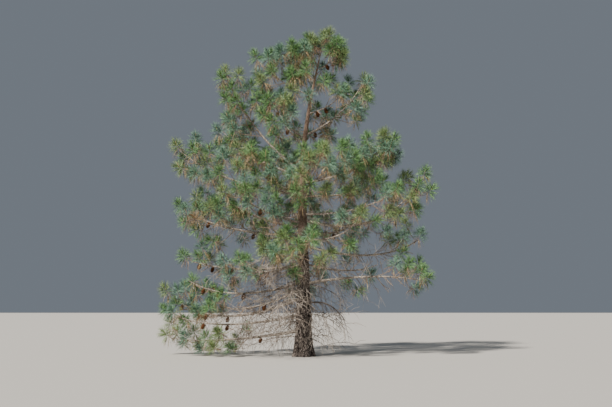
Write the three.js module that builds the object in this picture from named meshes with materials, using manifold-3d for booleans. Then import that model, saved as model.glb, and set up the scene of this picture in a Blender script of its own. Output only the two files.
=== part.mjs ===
import * as THREE from "three";
import Module from "manifold-3d";

// A long-needled pine that grew in the open: one trunk, limbs that leave it at every height and
// turn up at their ends, and tufts of needles on the twigs at those ends. Millimetres, +Z up, the
// trunk's flat foot on the origin. The front of the tree is -Y and its right side +X.

const wasm = await Module();
wasm.setup();
const { Manifold, Mesh } = wasm;

// The trunk: a straight stem that leans to the right above LEAN_START, with a lobed root flare.
const TRUNK_TOP = 8180;
const BUTT_RADIUS = 226;
const TOP_RADIUS = 16;
const TAPER = 1.2;
const FLARE = 85;
const FLARE_HEIGHT = 380;
const LOBES = 5;
const LOBE_DEPTH = 0.14;
const LOBE_HEIGHT = 350;
const LEAN = 440;
const LEAN_START = 5300;
const LEAN_POWER = 1.6;
const SWAY = 14;
const SWAY_LENGTH = [900, 1150];
const TRUNK_SIDES = 12;
const TRUNK_RINGS = 15;
const TRUNK_RING_POWER = 1.5;

// The limbs: thick where they leave the trunk, and never over a share of the trunk's own radius.
const BOUGH_SIDES = 6;
const STEM_SIDES = 4;
const LIMB_STEP = 480;
const LIMB_END_RADIUS = 12;
const LIMB_RADIUS_PER_LENGTH = 0.0085;
const LIMB_SHARE_OF_TRUNK = 0.5;
const LIMB_WANDER = 0.07;

// A limb's two inner control points: each one's share of its reach, of its rise and of its sag.
const LIMB_BENDS = [
  [0.34, 0.33, 0.9],
  [0.72, 0.7, 1.3],
];

// The twigs that branch off a limb's leafy stretch by turns round it. Angles are in degrees.
const TWIG_SPACING = 200;
const FEWEST_TWIGS = 3;
const BARE_STEM = 0.04;
const LEAFY_END = 0.97;
const TWIG_JITTER = 0.5;
const TWIG_LENGTH = [250, 430];
const TWIG_VARIES = 0.4;
const TWIG_ANGLE = 52;
const TWIG_ROLL = 137.5;
const ROLL_JITTER = 60;
const ROLL_PER_LIMB = 40;
const TWIG_RADIUS = 7;
const TWIG_LIFT = 0.42;
const END_TWIG = 60;
const END_TWIG_ROOT = 0.96;

// Some twigs bear a second one halfway, and sprays keep apart.
const SECOND_TWIG_CHANCE = 0.35;
const SECOND_TWIG_LENGTH = 0.8;
const SPRAYS_APART = 364;

// A spray: a slim three-sided core at the twig's end that bundles of needles stand out of. The
// bundles lean forward by NEEDLE_FORWARD degrees, more at the front, and stop short of what is near.
const CORE_LENGTH = 260;
const CORE_RADIUS = 66;
const CORE_TAPER = 0.75;
const NECK_RADIUS = 9;
const NEEDLE_LENGTH = 390;
const NEEDLE_VARIES = 0.3;
const NEEDLE_FORWARD = [12, 48];
const NEEDLE_SPREAD = 20;
const NEEDLE_DROOP = 0.16;
const NEEDLE_TESTS = [0.4, 0.7, 1];
const SHORTER = [1, 0.8, 0.6, 0.4, 0.2, 0.08];

// The cones that hang under some stems, with their radius at each share of their length.
const CONE_LENGTH = 140;
const CONE_SIDES = 5;
const CONE_OUTLINE = [
  [0, 12],
  [0.45, 50],
  [1, 14],
];
const CONE_OUTWARD = 0.35;

// What each mass keeps clear of: the neighbours' spaces, the limbs and the ground.
const SPACE_MARGIN = 25;
const LIMB_MARGIN = 30;
const GROUND_MARGIN = 70;
const STEM_MARGIN = 40;
const SPRAY_MARGIN = 25;
const TWIG_TEST = 0.6;
const SEAM = 0.35;

// The dead limbs: bare twigs leave them to both sides by turns, bend, and hang.
const DEAD_TWIG_SPACING = 135;
const DEAD_TWIG_RANGE = [0.22, 0.98];
const DEAD_TWIG_LENGTH = [420, 900];
const DEAD_TWIG_RADIUS = 9;
const DEAD_TWIG_AHEAD = 0.5;
const DEAD_TWIG_SIDE = [0.3, 0.8];
const DEAD_TWIG_DROOP = 0.25;
const DEAD_TWIG_BEND = 0.4;
const DEAD_TWIG_HANG = 0.45;

// Points along a limb's line that the spaces are measured from.
const LINE_POINTS = 16;

// The first number of each kind of chance, so that each is drawn apart.
const TWIG_SEED = 100;
const SPRAY_SEED = 100;
const DEAD_SEED = 500;

const BARK = { color: 0x5c5048, roughness: 0.95, metalness: 0 };
const LIMB_BARK = { color: 0x7d7064, roughness: 0.92, metalness: 0 };
const NEEDLES = { color: 0x66744a, roughness: 0.8, metalness: 0 };
const DEAD_WOOD = { color: 0x9a8f85, roughness: 0.95, metalness: 0 };

// Each limb leaves the trunk at height, points to bearing in degrees (0 right, 90 back, 180 left,
// 270 front), and ends reach out and rise up from there, hanging sag under the straight line.
// bough is the share of it that is a bare bough of its own, and leafy is where its twigs begin.
// CONES says at which share of a limb a cone hangs.
const LIMBS = [
  { name: "right_top", height: 6050, bearing: 3, reach: 1500, rise: 1300, sag: 240, bough: 0.6 },
  { name: "right_upper", height: 4700, bearing: 352, reach: 2300, rise: 900, sag: 220, bough: 0.5 },
  { name: "right_middle", height: 3700, bearing: 358, reach: 3200, rise: 1000, sag: 750, bough: 0.6 },
  { name: "right_front", height: 3850, bearing: 333, reach: 2500, rise: 350, sag: 200, bough: 0.48 },
  { name: "right_lower", height: 3000, bearing: 6, reach: 3180, rise: 150, sag: 420, bough: 0.68 },
  { name: "right_lowest", height: 1950, bearing: 354, reach: 3050, rise: 100, sag: -150, bough: 0.7 },
  { name: "left_top", height: 5000, bearing: 178, reach: 2050, rise: 2550, sag: 400, bough: 0.6 },
  { name: "left_upper", height: 4400, bearing: 183, reach: 3250, rise: 1080, sag: 300, bough: 0.66 },
  { name: "left_middle", height: 3500, bearing: 174, reach: 2450, rise: 1150, sag: 350, bough: 0.62 },
  { name: "left_long", height: 3300, bearing: 187, reach: 3100, rise: 550, sag: 250, bough: 0.66 },
  { name: "left_low", height: 2450, bearing: 178, reach: 3000, rise: 100, sag: 180, bough: 0.68 },
  { name: "left_lower", height: 2000, bearing: 185, reach: 3050, rise: 0, sag: 380, bough: 0.56 },
  { name: "left_reach", height: 1600, bearing: 174, reach: 3600, rise: -50, sag: 600, bough: 0.62 },
  { name: "left_foot", height: 1150, bearing: 189, reach: 3250, rise: -120, sag: 260, bough: 0.45 },
  { name: "left_ground", height: 700, bearing: 170, reach: 3620, rise: -250, sag: 150, bough: 0.45 },
  { name: "left_inner", height: 5700, bearing: 160, reach: 880, rise: 1300, sag: 120, leafy: 0.45 },
  { name: "top_right", height: 7900, bearing: 350, reach: 520, rise: 380, sag: 60, leafy: 0.3 },
  { name: "top_left", height: 7600, bearing: 187, reach: 780, rise: 560, sag: 60, leafy: 0.3 },
  { name: "top_far_left", height: 7150, bearing: 192, reach: 1380, rise: 780, sag: 100, leafy: 0.38 },
  { name: "top_back", height: 7700, bearing: 100, reach: 750, rise: 420, sag: 60, leafy: 0.3 },
  { name: "top_front", height: 6950, bearing: 262, reach: 750, rise: 450, sag: 60, leafy: 0.3 },
  { name: "right_inner", height: 6650, bearing: 335, reach: 800, rise: 280, sag: 60, leafy: 0.35 },
  { name: "left_front_top", height: 5950, bearing: 218, reach: 1050, rise: 650, sag: 80, leafy: 0.35 },
  { name: "back_top", height: 6100, bearing: 68, reach: 1350, rise: 500, sag: 100, leafy: 0.3 },
  { name: "left_behind", height: 4900, bearing: 158, reach: 2450, rise: 1400, sag: 250, leafy: 0.5 },
  { name: "right_behind", height: 4350, bearing: 30, reach: 2300, rise: 450, sag: 150, leafy: 0.38 },
  { name: "left_front", height: 4300, bearing: 210, reach: 1800, rise: 950, sag: 150, leafy: 0.38 },
  { name: "left_front_low", height: 3600, bearing: 216, reach: 2100, rise: 700, sag: 150, leafy: 0.42 },
  { name: "front_right", height: 4500, bearing: 303, reach: 1650, rise: 700, sag: 100, leafy: 0.35 },
  { name: "front", height: 4150, bearing: 284, reach: 1850, rise: 900, sag: 150, leafy: 0.38 },
  { name: "front_left_low", height: 3150, bearing: 243, reach: 2050, rise: 350, sag: 200, leafy: 0.4 },
  { name: "front_right_low", height: 3150, bearing: 318, reach: 1850, rise: 350, sag: 200, leafy: 0.4 },
  { name: "front_low", height: 2650, bearing: 266, reach: 2000, rise: 400, sag: 220, leafy: 0.4 },
  { name: "left_front_lower", height: 2500, bearing: 207, reach: 2050, rise: -150, sag: 200, leafy: 0.45 },
  { name: "left_front_foot", height: 1850, bearing: 217, reach: 2400, rise: -550, sag: 200, leafy: 0.45 },
  { name: "back_left_high", height: 4750, bearing: 112, reach: 2200, rise: 1050, sag: 200, leafy: 0.4 },
  { name: "back", height: 3850, bearing: 90, reach: 2800, rise: 750, sag: 300, leafy: 0.45 },
  { name: "back_right", height: 3400, bearing: 52, reach: 2700, rise: 550, sag: 300, leafy: 0.45 },
  { name: "back_left", height: 3250, bearing: 135, reach: 2700, rise: 550, sag: 300, leafy: 0.45 },
  { name: "back_low", height: 2200, bearing: 88, reach: 2600, rise: 0, sag: 250, leafy: 0.5 },
  { name: "right_behind_low", height: 2500, bearing: 30, reach: 2400, rise: 0, sag: 200, leafy: 0.5 },
];
const CONES = {
  right_top: 0.84,
  left_low: 0.8,
  left_lower: 0.72,
  left_reach: 0.92,
  left_foot: 0.6,
  left_inner: 0.86,
  top_right: 0.5,
  top_left: 0.45,
  left_behind: 0.3,
  left_front_lower: 0.5,
  left_front_foot: 0.5,
};
const LEADER = { name: "leader", height: TRUNK_TOP, bough: 0, leafy: 0.12, twigs: 4, seed: 51 };
const LEADER_LENGTH = 200;
const LEADER_EASE = 0.3;
const DEAD_LIMBS = [
  { name: "dead_twigs_right", height: 1380, bearing: 342, reach: 1150, rise: -400, sag: -300 },
  { name: "dead_twigs_left", height: 1500, bearing: 228, reach: 1350, rise: -450, sag: -260 },
];

const UP = new THREE.Vector3(0, 0, 1);
const TURN = Math.PI * 2;
const radians = THREE.MathUtils.degToRad;
const mix = THREE.MathUtils.lerp;

// Numbers from 0 to 1 that are the same for the same seed.
function seeded(seed) {
  let state = (Math.imul(seed, 2654435761) + 12345) >>> 0;
  const next = () => {
    state = (Math.imul(state, 1664525) + 1013904223) >>> 0;
    return state / 4294967296;
  };
  next();
  next();
  return next;
}

// A factor about 1 that varies by the spread from its lowest to its highest.
function about(spread, random) {
  return 1 + spread * (random() - 0.5);
}

// The trunk's centre and radius at a height.
function trunkAt(height) {
  const share = Math.max(0, (height - LEAN_START) / (TRUNK_TOP - LEAN_START));
  const x = LEAN * share ** LEAN_POWER + SWAY * Math.sin(height / SWAY_LENGTH[0]);
  return new THREE.Vector3(x, SWAY * Math.sin(height / SWAY_LENGTH[1]), height);
}

function trunkRadius(height) {
  const taper = Math.max(0, 1 - height / TRUNK_TOP) ** TAPER;
  return mix(TOP_RADIUS, BUTT_RADIUS, taper) + FLARE * Math.exp(-height / FLARE_HEIGHT);
}

// A closed skin over rings of points. Each ring is a list of corners, and the fans close its ends.
function skin(rings, facesBetween) {
  const sides = rings[0].length;
  const points = rings.flat();
  const faces = [];
  for (let k = 0; k + 1 < rings.length; k++) {
    for (let j = 0; j < sides; j++) {
      const next = (j + 1) % sides;
      const [a, b] = [k * sides + j, k * sides + next];
      const [c, d] = [a + sides, b + sides];
      const pair = [[a, b, c], [b, d, c]];
      faces.push(...(facesBetween ? facesBetween(pair, k, points) : pair));
    }
  }
  const last = (rings.length - 1) * sides;
  for (let j = 1; j + 1 < sides; j++) {
    faces.push([0, j + 1, j]);
    const cap = [last, last + j, last + j + 1];
    faces.push(...(facesBetween ? facesBetween([cap], rings.length - 1, points) : [cap]));
  }
  return { points, faces };
}

// The ring of corners round a point, square to the tangent. axis is carried from ring to ring.
function ring(centre, tangent, axis, radius, sides, turn = 0) {
  const across = new THREE.Vector3().crossVectors(tangent, axis);
  return Array.from({ length: sides }, (_, j) => {
    const angle = turn + (j / sides) * TURN;
    return centre
      .clone()
      .addScaledVector(axis, Math.cos(angle) * radius)
      .addScaledVector(across, Math.sin(angle) * radius);
  });
}

function squareTo(tangent, axis) {
  return axis.clone().addScaledVector(tangent, -axis.dot(tangent)).normalize();
}

function firstAxis(tangent) {
  const reference = Math.abs(tangent.z) < 0.9 ? UP : new THREE.Vector3(1, 0, 0);
  return squareTo(tangent, reference);
}

function solid({ points, faces }) {
  const vertProperties = new Float32Array(points.flatMap((p) => [p.x, p.y, p.z]));
  return new Manifold(new Mesh({ numProp: 3, vertProperties, triVerts: new Uint32Array(faces.flat()) }));
}

// The trunk, grown by clearance where it is the shape that limbs are cut by.
function trunkSolid(clearance = 0) {
  const rings = [];
  for (let k = 0; k <= TRUNK_RINGS; k++) {
    const height = TRUNK_TOP * (k / TRUNK_RINGS) ** TRUNK_RING_POWER;
    const centre = trunkAt(height);
    const lobe = LOBE_DEPTH * Math.exp(-height / LOBE_HEIGHT);
    rings.push(
      Array.from({ length: TRUNK_SIDES }, (_, j) => {
        const angle = (j / TRUNK_SIDES) * TURN;
        const radius = trunkRadius(height) * (1 + lobe * Math.cos(LOBES * angle)) + clearance;
        return new THREE.Vector3(Math.cos(angle) * radius, Math.sin(angle) * radius, 0).add(centre);
      }),
    );
  }
  return solid(skin(rings));
}

// A limb's line from the trunk's centre to its end, with a little sideways wander of its own.
function limbCurve({ height, bearing, reach, rise, sag }, random) {
  const root = trunkAt(height);
  const out = new THREE.Vector3(Math.cos(radians(bearing)), Math.sin(radians(bearing)), 0);
  const side = new THREE.Vector3(-out.y, out.x, 0);
  const at = (share, lift, wander) =>
    root
      .clone()
      .addScaledVector(out, reach * share)
      .addScaledVector(side, reach * wander)
      .addScaledVector(UP, lift);
  const bends = LIMB_BENDS.map(([share, rising, sagging]) => {
    const wander = (random() - 0.5) * 2 * LIMB_WANDER;
    return at(share, rise * rising - sag * sagging, wander);
  });
  return new THREE.CubicBezierCurve3(root, ...bends, at(1, rise, 0));
}

// The limb's radius at a share of its length.
function limbRadius(limb, share) {
  return mix(limb.rootRadius, LIMB_END_RADIUS, share);
}

// The stretch of a limb between two shares of its curve, as a closed tapered tube.
function limbStretch(limb, from, to, sides, gap = 0) {
  const steps = Math.max(2, Math.round(((to - from) * limb.length) / LIMB_STEP));
  const rings = [];
  let axis = firstAxis(limb.curve.getTangent(from));
  for (let k = 0; k <= steps; k++) {
    const share = mix(from, to, k / steps);
    const tangent = limb.curve.getTangent(share);
    const centre = limb.curve.getPoint(share);
    if (k === 0) centre.addScaledVector(tangent, gap);
    axis = squareTo(tangent, axis);
    rings.push(ring(centre, tangent, axis, limbRadius(limb, share), sides));
  }
  return solid(skin(rings));
}

// A straight or bent three-sided twig through the points given, thinning to its end.
function bareTwig(points, rootRadius, endRadius) {
  const rings = [];
  let axis = firstAxis(points[1].clone().sub(points[0]).normalize());
  points.forEach((point, k) => {
    const [back, ahead] = [points[Math.max(0, k - 1)], points[Math.min(points.length - 1, k + 1)]];
    const tangent = ahead.clone().sub(back).normalize();
    axis = squareTo(tangent, axis);
    rings.push(ring(point, tangent, axis, mix(rootRadius, endRadius, k / (points.length - 1)), 3));
  });
  return solid(skin(rings));
}

function distanceToLine(point, line) {
  let nearest = { distance: Infinity, share: 0 };
  const at = new THREE.Vector3();
  const segment = new THREE.Line3();
  for (let k = 0; k + 1 < line.length; k++) {
    segment.set(line[k], line[k + 1]);
    const t = segment.closestPointToPointParameter(point, true);
    const distance = segment.at(t, at).distanceTo(point);
    if (distance < nearest.distance) nearest = { distance, share: (k + t) / (line.length - 1) };
  }
  return nearest;
}

// True if a point lies in the limb's own space: nearer to its line than to any other limb's,
// and clear of the trunk, of every bare bough and of the ground.
function inOwnSpace(point, own, margin = 0) {
  if (point.z < GROUND_MARGIN + margin) return false;
  const trunkGap = Math.hypot(point.x - trunkAt(point.z).x, point.y - trunkAt(point.z).y);
  if (point.z < TRUNK_TOP && trunkGap < trunkRadius(point.z) + LIMB_MARGIN + margin) return false;
  const home = distanceToLine(point, own.line).distance;
  return limbs.every((limb) => {
    const { distance, share } = distanceToLine(point, limb.line);
    if (share < (limb.bough ?? 0) && distance < limbRadius(limb, share) + LIMB_MARGIN + margin) return false;
    return limb === own || distance > home + SPACE_MARGIN + margin;
  });
}

// True if a point of a spray's needles is clear of its mass's stem and of the other twigs there,
// and nearer to its own core than to theirs.
function clearOfSprays(point, own, twig, twigs) {
  if (distanceToLine(point, own.line).distance < STEM_MARGIN) return false;
  const home = distanceToLine(point, twig.core).distance;
  return twigs.every(
    (other) =>
      other === twig ||
      (distanceToLine(point, other.core).distance > home + SPRAY_MARGIN &&
        distanceToLine(point, other.line).distance > STEM_MARGIN),
  );
}

// The longest of the shorter lengths at which a bundle of needles stays in its own space.
function fitted(base, reach, own, twig, twigs) {
  const along = (share) => base.clone().addScaledVector(reach, share);
  const fits = (share) =>
    NEEDLE_TESTS.every((part) => {
      const point = along(share * part);
      return inOwnSpace(point, own) && clearOfSprays(point, own, twig, twigs);
    });
  return along(SHORTER.find(fits) ?? SHORTER[SHORTER.length - 1]);
}

// A twig with a spray of needles at its end: the twig's rings widen into the core, each of the
// core's faces is drawn out into a bundle of needles, and the last bundle goes straight ahead.
function sprayTwig(twig, own, twigs, random) {
  const { root, neck, ahead, shoulder, front } = twig;
  const rings = [];
  const out = neck.clone().sub(root).normalize();
  let axis = firstAxis(out);
  const stations = [
    [root, out, TWIG_RADIUS, 0],
    [neck, out.clone().add(ahead).normalize(), NECK_RADIUS, 0],
    [shoulder, ahead, CORE_RADIUS, TURN / 6],
    [front, ahead, CORE_RADIUS * CORE_TAPER, TURN / 3],
  ];
  for (const [centre, tangent, radius, turn] of stations) {
    axis = squareTo(tangent, axis);
    rings.push(ring(centre, tangent, axis, radius, 3, turn));
  }
  const bundles = (faces, k, corners) => {
    if (k < 1) return faces;
    return faces.flatMap(([a, b, c]) => {
      const base = new THREE.Vector3().add(corners[a]).add(corners[b]).add(corners[c]).divideScalar(3);
      const radial = squareTo(ahead, base.clone().sub(neck));
      const forward = radians(NEEDLE_FORWARD[k === 1 ? 0 : 1] + NEEDLE_SPREAD * (random() - 0.5));
      const reach = radial.multiplyScalar(Math.cos(forward)).addScaledVector(ahead, Math.sin(forward));
      if (k === rings.length - 1) reach.copy(ahead);
      reach.addScaledVector(UP, -NEEDLE_DROOP * random()).normalize();
      reach.multiplyScalar(NEEDLE_LENGTH * about(NEEDLE_VARIES, random));
      corners.push(fitted(base, reach, own, twig, twigs));
      const tip = corners.length - 1;
      return [[a, b, tip], [b, c, tip], [c, a, tip]];
    });
  };
  return solid(skin(rings, bundles));
}

// A twig from its root to its neck, and the core of its spray, which goes on ahead of the neck.
function twigBetween(root, neck, ahead) {
  const [shoulder, front] = [0.5, 1].map((share) => neck.clone().addScaledVector(ahead, CORE_LENGTH * share));
  return { root, neck, ahead, shoulder, front, line: [root, neck], core: [neck, front] };
}

// A twig leaves its stem at an angle and runs straight to its neck, from where its spray turns up.
function twigFrom(root, tangent, roll, length, random) {
  const axis = firstAxis(tangent);
  const side = axis.clone().applyAxisAngle(tangent, roll);
  const angle = radians(TWIG_ANGLE) * about(TWIG_VARIES, random);
  const out = tangent.clone().multiplyScalar(Math.cos(angle)).addScaledVector(side, Math.sin(angle));
  const ahead = out.clone().addScaledVector(UP, TWIG_LIFT * about(1, random)).normalize();
  return twigBetween(root, root.clone().addScaledVector(out, length), ahead);
}

// Every twig of one mass: they come off the leafy stretch by turns round it, the longest first,
// the longer ones bear a second twig, and the stem's own end bears one that goes straight on.
function massTwigs(limb, random) {
  const leafy = limb.leafy ?? limb.bough + BARE_STEM;
  const count = limb.twigs ?? Math.max(FEWEST_TWIGS, Math.round(((1 - leafy) * limb.length) / TWIG_SPACING));
  const twigs = [];
  for (let k = 0; k < count; k++) {
    const along = (k + TWIG_JITTER * random()) / count;
    const share = mix(leafy, LEAFY_END, along);
    const length = mix(TWIG_LENGTH[1], TWIG_LENGTH[0], along) * about(TWIG_VARIES, random);
    const roll = radians(TWIG_ROLL * k + ROLL_JITTER * random() + ROLL_PER_LIMB * limb.seed);
    const tangent = limb.curve.getTangent(share);
    const twig = twigFrom(limb.curve.getPoint(share), tangent, roll, length, random);
    twigs.push(twig);
    const [chance, turn] = [random(), random()];
    if (chance < SECOND_TWIG_CHANCE) {
      const half = twig.root.clone().lerp(twig.neck, 0.5);
      const secondRoll = roll + turn * Math.PI;
      twigs.push(twigFrom(half, twig.ahead, secondRoll, length * SECOND_TWIG_LENGTH, random));
    }
  }
  const ahead = limb.curve.getTangent(1);
  const neck = limb.curve.getPoint(1).addScaledVector(ahead, END_TWIG);
  return [twigBetween(limb.curve.getPoint(END_TWIG_ROOT), neck, ahead), ...twigs];
}

// A cone that hangs from the stem's own middle, its tip down and a little outward.
function coneSolid(limb) {
  const root = limb.curve.getPoint(CONES[limb.name]);
  const axis = limb.curve.getTangent(CONES[limb.name]).multiplyScalar(CONE_OUTWARD).sub(UP).normalize();
  const across = firstAxis(axis);
  const rings = CONE_OUTLINE.map(([share, radius]) =>
    ring(root.clone().addScaledVector(axis, CONE_LENGTH * share), axis, across, radius, CONE_SIDES),
  );
  return solid(skin(rings));
}

// One mass of foliage: its stem and every twig whose spray fits the mass's own space, fused.
function massSolid(limb) {
  const random = seeded(limb.seed + TWIG_SEED);
  const stem = limbStretch(limb, limb.bough ?? 0, 1, STEM_SIDES, limb.rooted ? 0 : SEAM);
  const pieces = [limb.rooted ? stem.subtract(trunkSolid(SEAM)) : stem];
  const kept = [];
  for (const twig of massTwigs(limb, random)) {
    const points = [twig.root.clone().lerp(twig.neck, TWIG_TEST), twig.neck, twig.shoulder, twig.front];
    const apart = kept.every((other) => other.shoulder.distanceTo(twig.shoulder) > SPRAYS_APART);
    if (apart && points.every((point) => inOwnSpace(point, limb, CORE_RADIUS))) kept.push(twig);
  }
  if (CONES[limb.name]) pieces.push(coneSolid(limb));
  kept.forEach((twig, k) => pieces.push(sprayTwig(twig, limb, kept, seeded(limb.seed * SPRAY_SEED + k))));
  return largest(Manifold.union(pieces));
}

// A dead limb with its bare twigs, which hang and spread as they thin.
function deadSolid(limb) {
  const random = seeded(limb.seed + DEAD_SEED);
  const pieces = [limbStretch(limb, 0, 1, STEM_SIDES).subtract(trunkSolid(SEAM))];
  const count = Math.round(limb.length / DEAD_TWIG_SPACING);
  for (let k = 0; k < count; k++) {
    const share = mix(...DEAD_TWIG_RANGE, (k + random()) / count);
    const root = limb.curve.getPoint(share);
    const out = limb.curve.getTangent(share);
    const side = new THREE.Vector3(-out.y, out.x, 0).multiplyScalar(mix(...DEAD_TWIG_SIDE, random()));
    if (k % 2 === 0) side.negate();
    const length = mix(...DEAD_TWIG_LENGTH, random());
    const first = side.addScaledVector(out, DEAD_TWIG_AHEAD).addScaledVector(UP, -DEAD_TWIG_DROOP);
    first.normalize();
    const bend = root.clone().addScaledVector(first, length * DEAD_TWIG_BEND);
    const second = first.multiplyScalar(DEAD_TWIG_HANG).sub(UP).normalize();
    const tip = bend.clone().addScaledVector(second, length * (1 - DEAD_TWIG_BEND));
    if ([bend, tip].every((point) => inOwnSpace(point, limb, DEAD_TWIG_RADIUS))) {
      pieces.push(bareTwig([root, bend, tip], DEAD_TWIG_RADIUS, DEAD_TWIG_RADIUS / 3));
    }
  }
  return largest(Manifold.union(pieces));
}

function largest(made) {
  return made.decompose().reduce((a, b) => (a.volume() > b.volume() ? a : b));
}

// A limb with its curve, its length, its thickness at the trunk and the line of its space.
function prepared(description, seed, curve) {
  const length = curve.getLength();
  const thick = LIMB_END_RADIUS + LIMB_RADIUS_PER_LENGTH * length;
  const rootRadius = Math.min(thick, LIMB_SHARE_OF_TRUNK * trunkRadius(description.height));
  const line = curve.getPoints(LINE_POINTS);
  return { ...description, seed, curve, length, rootRadius, line, rooted: !description.bough };
}

// The leader goes on from the trunk's tip, upright where it meets the tip's flat top.
function leaderCurve() {
  const start = trunkAt(TRUNK_TOP);
  const lean = start.clone().sub(trunkAt(TRUNK_TOP - LEADER_LENGTH)).normalize();
  const end = start.clone().addScaledVector(lean, LEADER_LENGTH);
  const bends = [
    start.clone().addScaledVector(UP, LEADER_LENGTH * LEADER_EASE),
    end.clone().addScaledVector(lean, -LEADER_LENGTH * LEADER_EASE),
  ];
  return new THREE.CubicBezierCurve3(start, ...bends, end);
}

const limbs = [...LIMBS, ...DEAD_LIMBS].map((description, k) =>
  prepared(description, k + 1, limbCurve(description, seeded(k + 1))),
);
const dead = limbs.slice(LIMBS.length);

const leader = prepared(LEADER, LEADER.seed, leaderCurve());
leader.rootRadius = TOP_RADIUS;
leader.rooted = false;
limbs.push(leader);

const tree = new THREE.Group();
tree.name = "pine_tree";

// A mesh that stands at its limb's foot, so that its own geometry starts there.
function addMesh(name, made, finish, foot) {
  const mesh = made.getMesh();
  const stride = mesh.numProp;
  const position = new Float32Array((mesh.vertProperties.length / stride) * 3);
  for (let k = 0; k * 3 < position.length; k++) {
    position.set(mesh.vertProperties.subarray(k * stride, k * stride + 3), k * 3);
  }
  const geometry = new THREE.BufferGeometry();
  geometry.setAttribute("position", new THREE.BufferAttribute(position, 3));
  geometry.setIndex(new THREE.BufferAttribute(mesh.triVerts, 1));
  geometry.translate(-foot.x, -foot.y, -foot.z);
  const piece = new THREE.Mesh(geometry, new THREE.MeshStandardMaterial(finish));
  piece.name = name;
  piece.position.copy(foot);
  tree.add(piece);
}

addMesh("trunk", trunkSolid(), BARK, trunkAt(0));
for (const limb of limbs) {
  const foot = limb.curve.getPoint(limb.bough ?? 0).round();
  if (dead.includes(limb)) {
    addMesh(limb.name, deadSolid(limb), DEAD_WOOD, foot);
    continue;
  }
  if (limb.bough) {
    const bough = limbStretch(limb, 0, limb.bough, BOUGH_SIDES).subtract(trunkSolid(SEAM));
    addMesh(`bough_${limb.name}`, largest(bough), LIMB_BARK, trunkAt(limb.height).round());
  }
  addMesh(`needles_${limb.name}`, massSolid(limb), NEEDLES, foot);
}

export default tree;
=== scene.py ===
"""A long-needled pine that grew in the open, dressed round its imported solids.

The trunk, the limbs and the twigs follow the same rule as the solids, in millimetres, and are
carried on from there to finer twigs, needles, cone scales and bare twigs, then turned to metres.
"""

import logging
import math
from collections.abc import Sequence
from dataclasses import dataclass, field
from enum import Enum
from typing import Any

import bpy
import numpy as np
from bpy.types import ID, Material, Mesh, Node, NodeSocket, NodeTree, Object
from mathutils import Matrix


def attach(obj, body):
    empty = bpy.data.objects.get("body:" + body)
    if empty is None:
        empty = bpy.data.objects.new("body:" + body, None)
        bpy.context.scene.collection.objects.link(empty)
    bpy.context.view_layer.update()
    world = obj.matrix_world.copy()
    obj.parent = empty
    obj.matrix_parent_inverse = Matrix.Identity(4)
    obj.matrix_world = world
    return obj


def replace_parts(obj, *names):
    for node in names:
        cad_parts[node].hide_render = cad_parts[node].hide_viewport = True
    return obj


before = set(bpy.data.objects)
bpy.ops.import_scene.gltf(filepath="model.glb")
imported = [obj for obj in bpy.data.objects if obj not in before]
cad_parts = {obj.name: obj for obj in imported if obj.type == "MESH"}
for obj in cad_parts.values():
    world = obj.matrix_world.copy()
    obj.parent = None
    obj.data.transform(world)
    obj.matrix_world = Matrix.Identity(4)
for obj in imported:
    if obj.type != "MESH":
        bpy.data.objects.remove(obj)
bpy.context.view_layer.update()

MM = 0.001
TURN = 2 * math.pi
UP = np.array((0.0, 0.0, 1.0))
ACROSS = np.array((1.0, 0.0, 0.0))
log = logging.getLogger("pine")

# Twigs and scales follow each other round their stem by this many degrees.
LEAF_TURN = 137.5

# Each bough leaves the trunk at height, points to bearing in degrees (0 right, 90 back, 180 left,
# 270 front), ends reach out and rise up from there, and hangs sag under the straight line. The
# last value is the share of it that is bare, or for a stem the share where its twigs begin.
BOUGHS = (
    ("right_top", 6050, 3, 1500, 1300, 240, 0.6),
    ("right_upper", 4700, 352, 2300, 900, 220, 0.5),
    ("right_middle", 3700, 358, 3200, 1000, 750, 0.6),
    ("right_front", 3850, 333, 2500, 350, 200, 0.48),
    ("right_lower", 3000, 6, 3180, 150, 420, 0.68),
    ("right_lowest", 1950, 354, 3050, 100, -150, 0.7),
    ("left_top", 5000, 178, 2050, 2550, 400, 0.6),
    ("left_upper", 4400, 183, 3250, 1080, 300, 0.66),
    ("left_middle", 3500, 174, 2450, 1150, 350, 0.62),
    ("left_long", 3300, 187, 3100, 550, 250, 0.66),
    ("left_low", 2450, 178, 3000, 100, 180, 0.68),
    ("left_lower", 2000, 185, 3050, 0, 380, 0.56),
    ("left_reach", 1600, 174, 3600, -50, 600, 0.62),
    ("left_foot", 1150, 189, 3250, -120, 260, 0.45),
    ("left_ground", 700, 170, 3620, -250, 150, 0.45),
)
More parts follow.
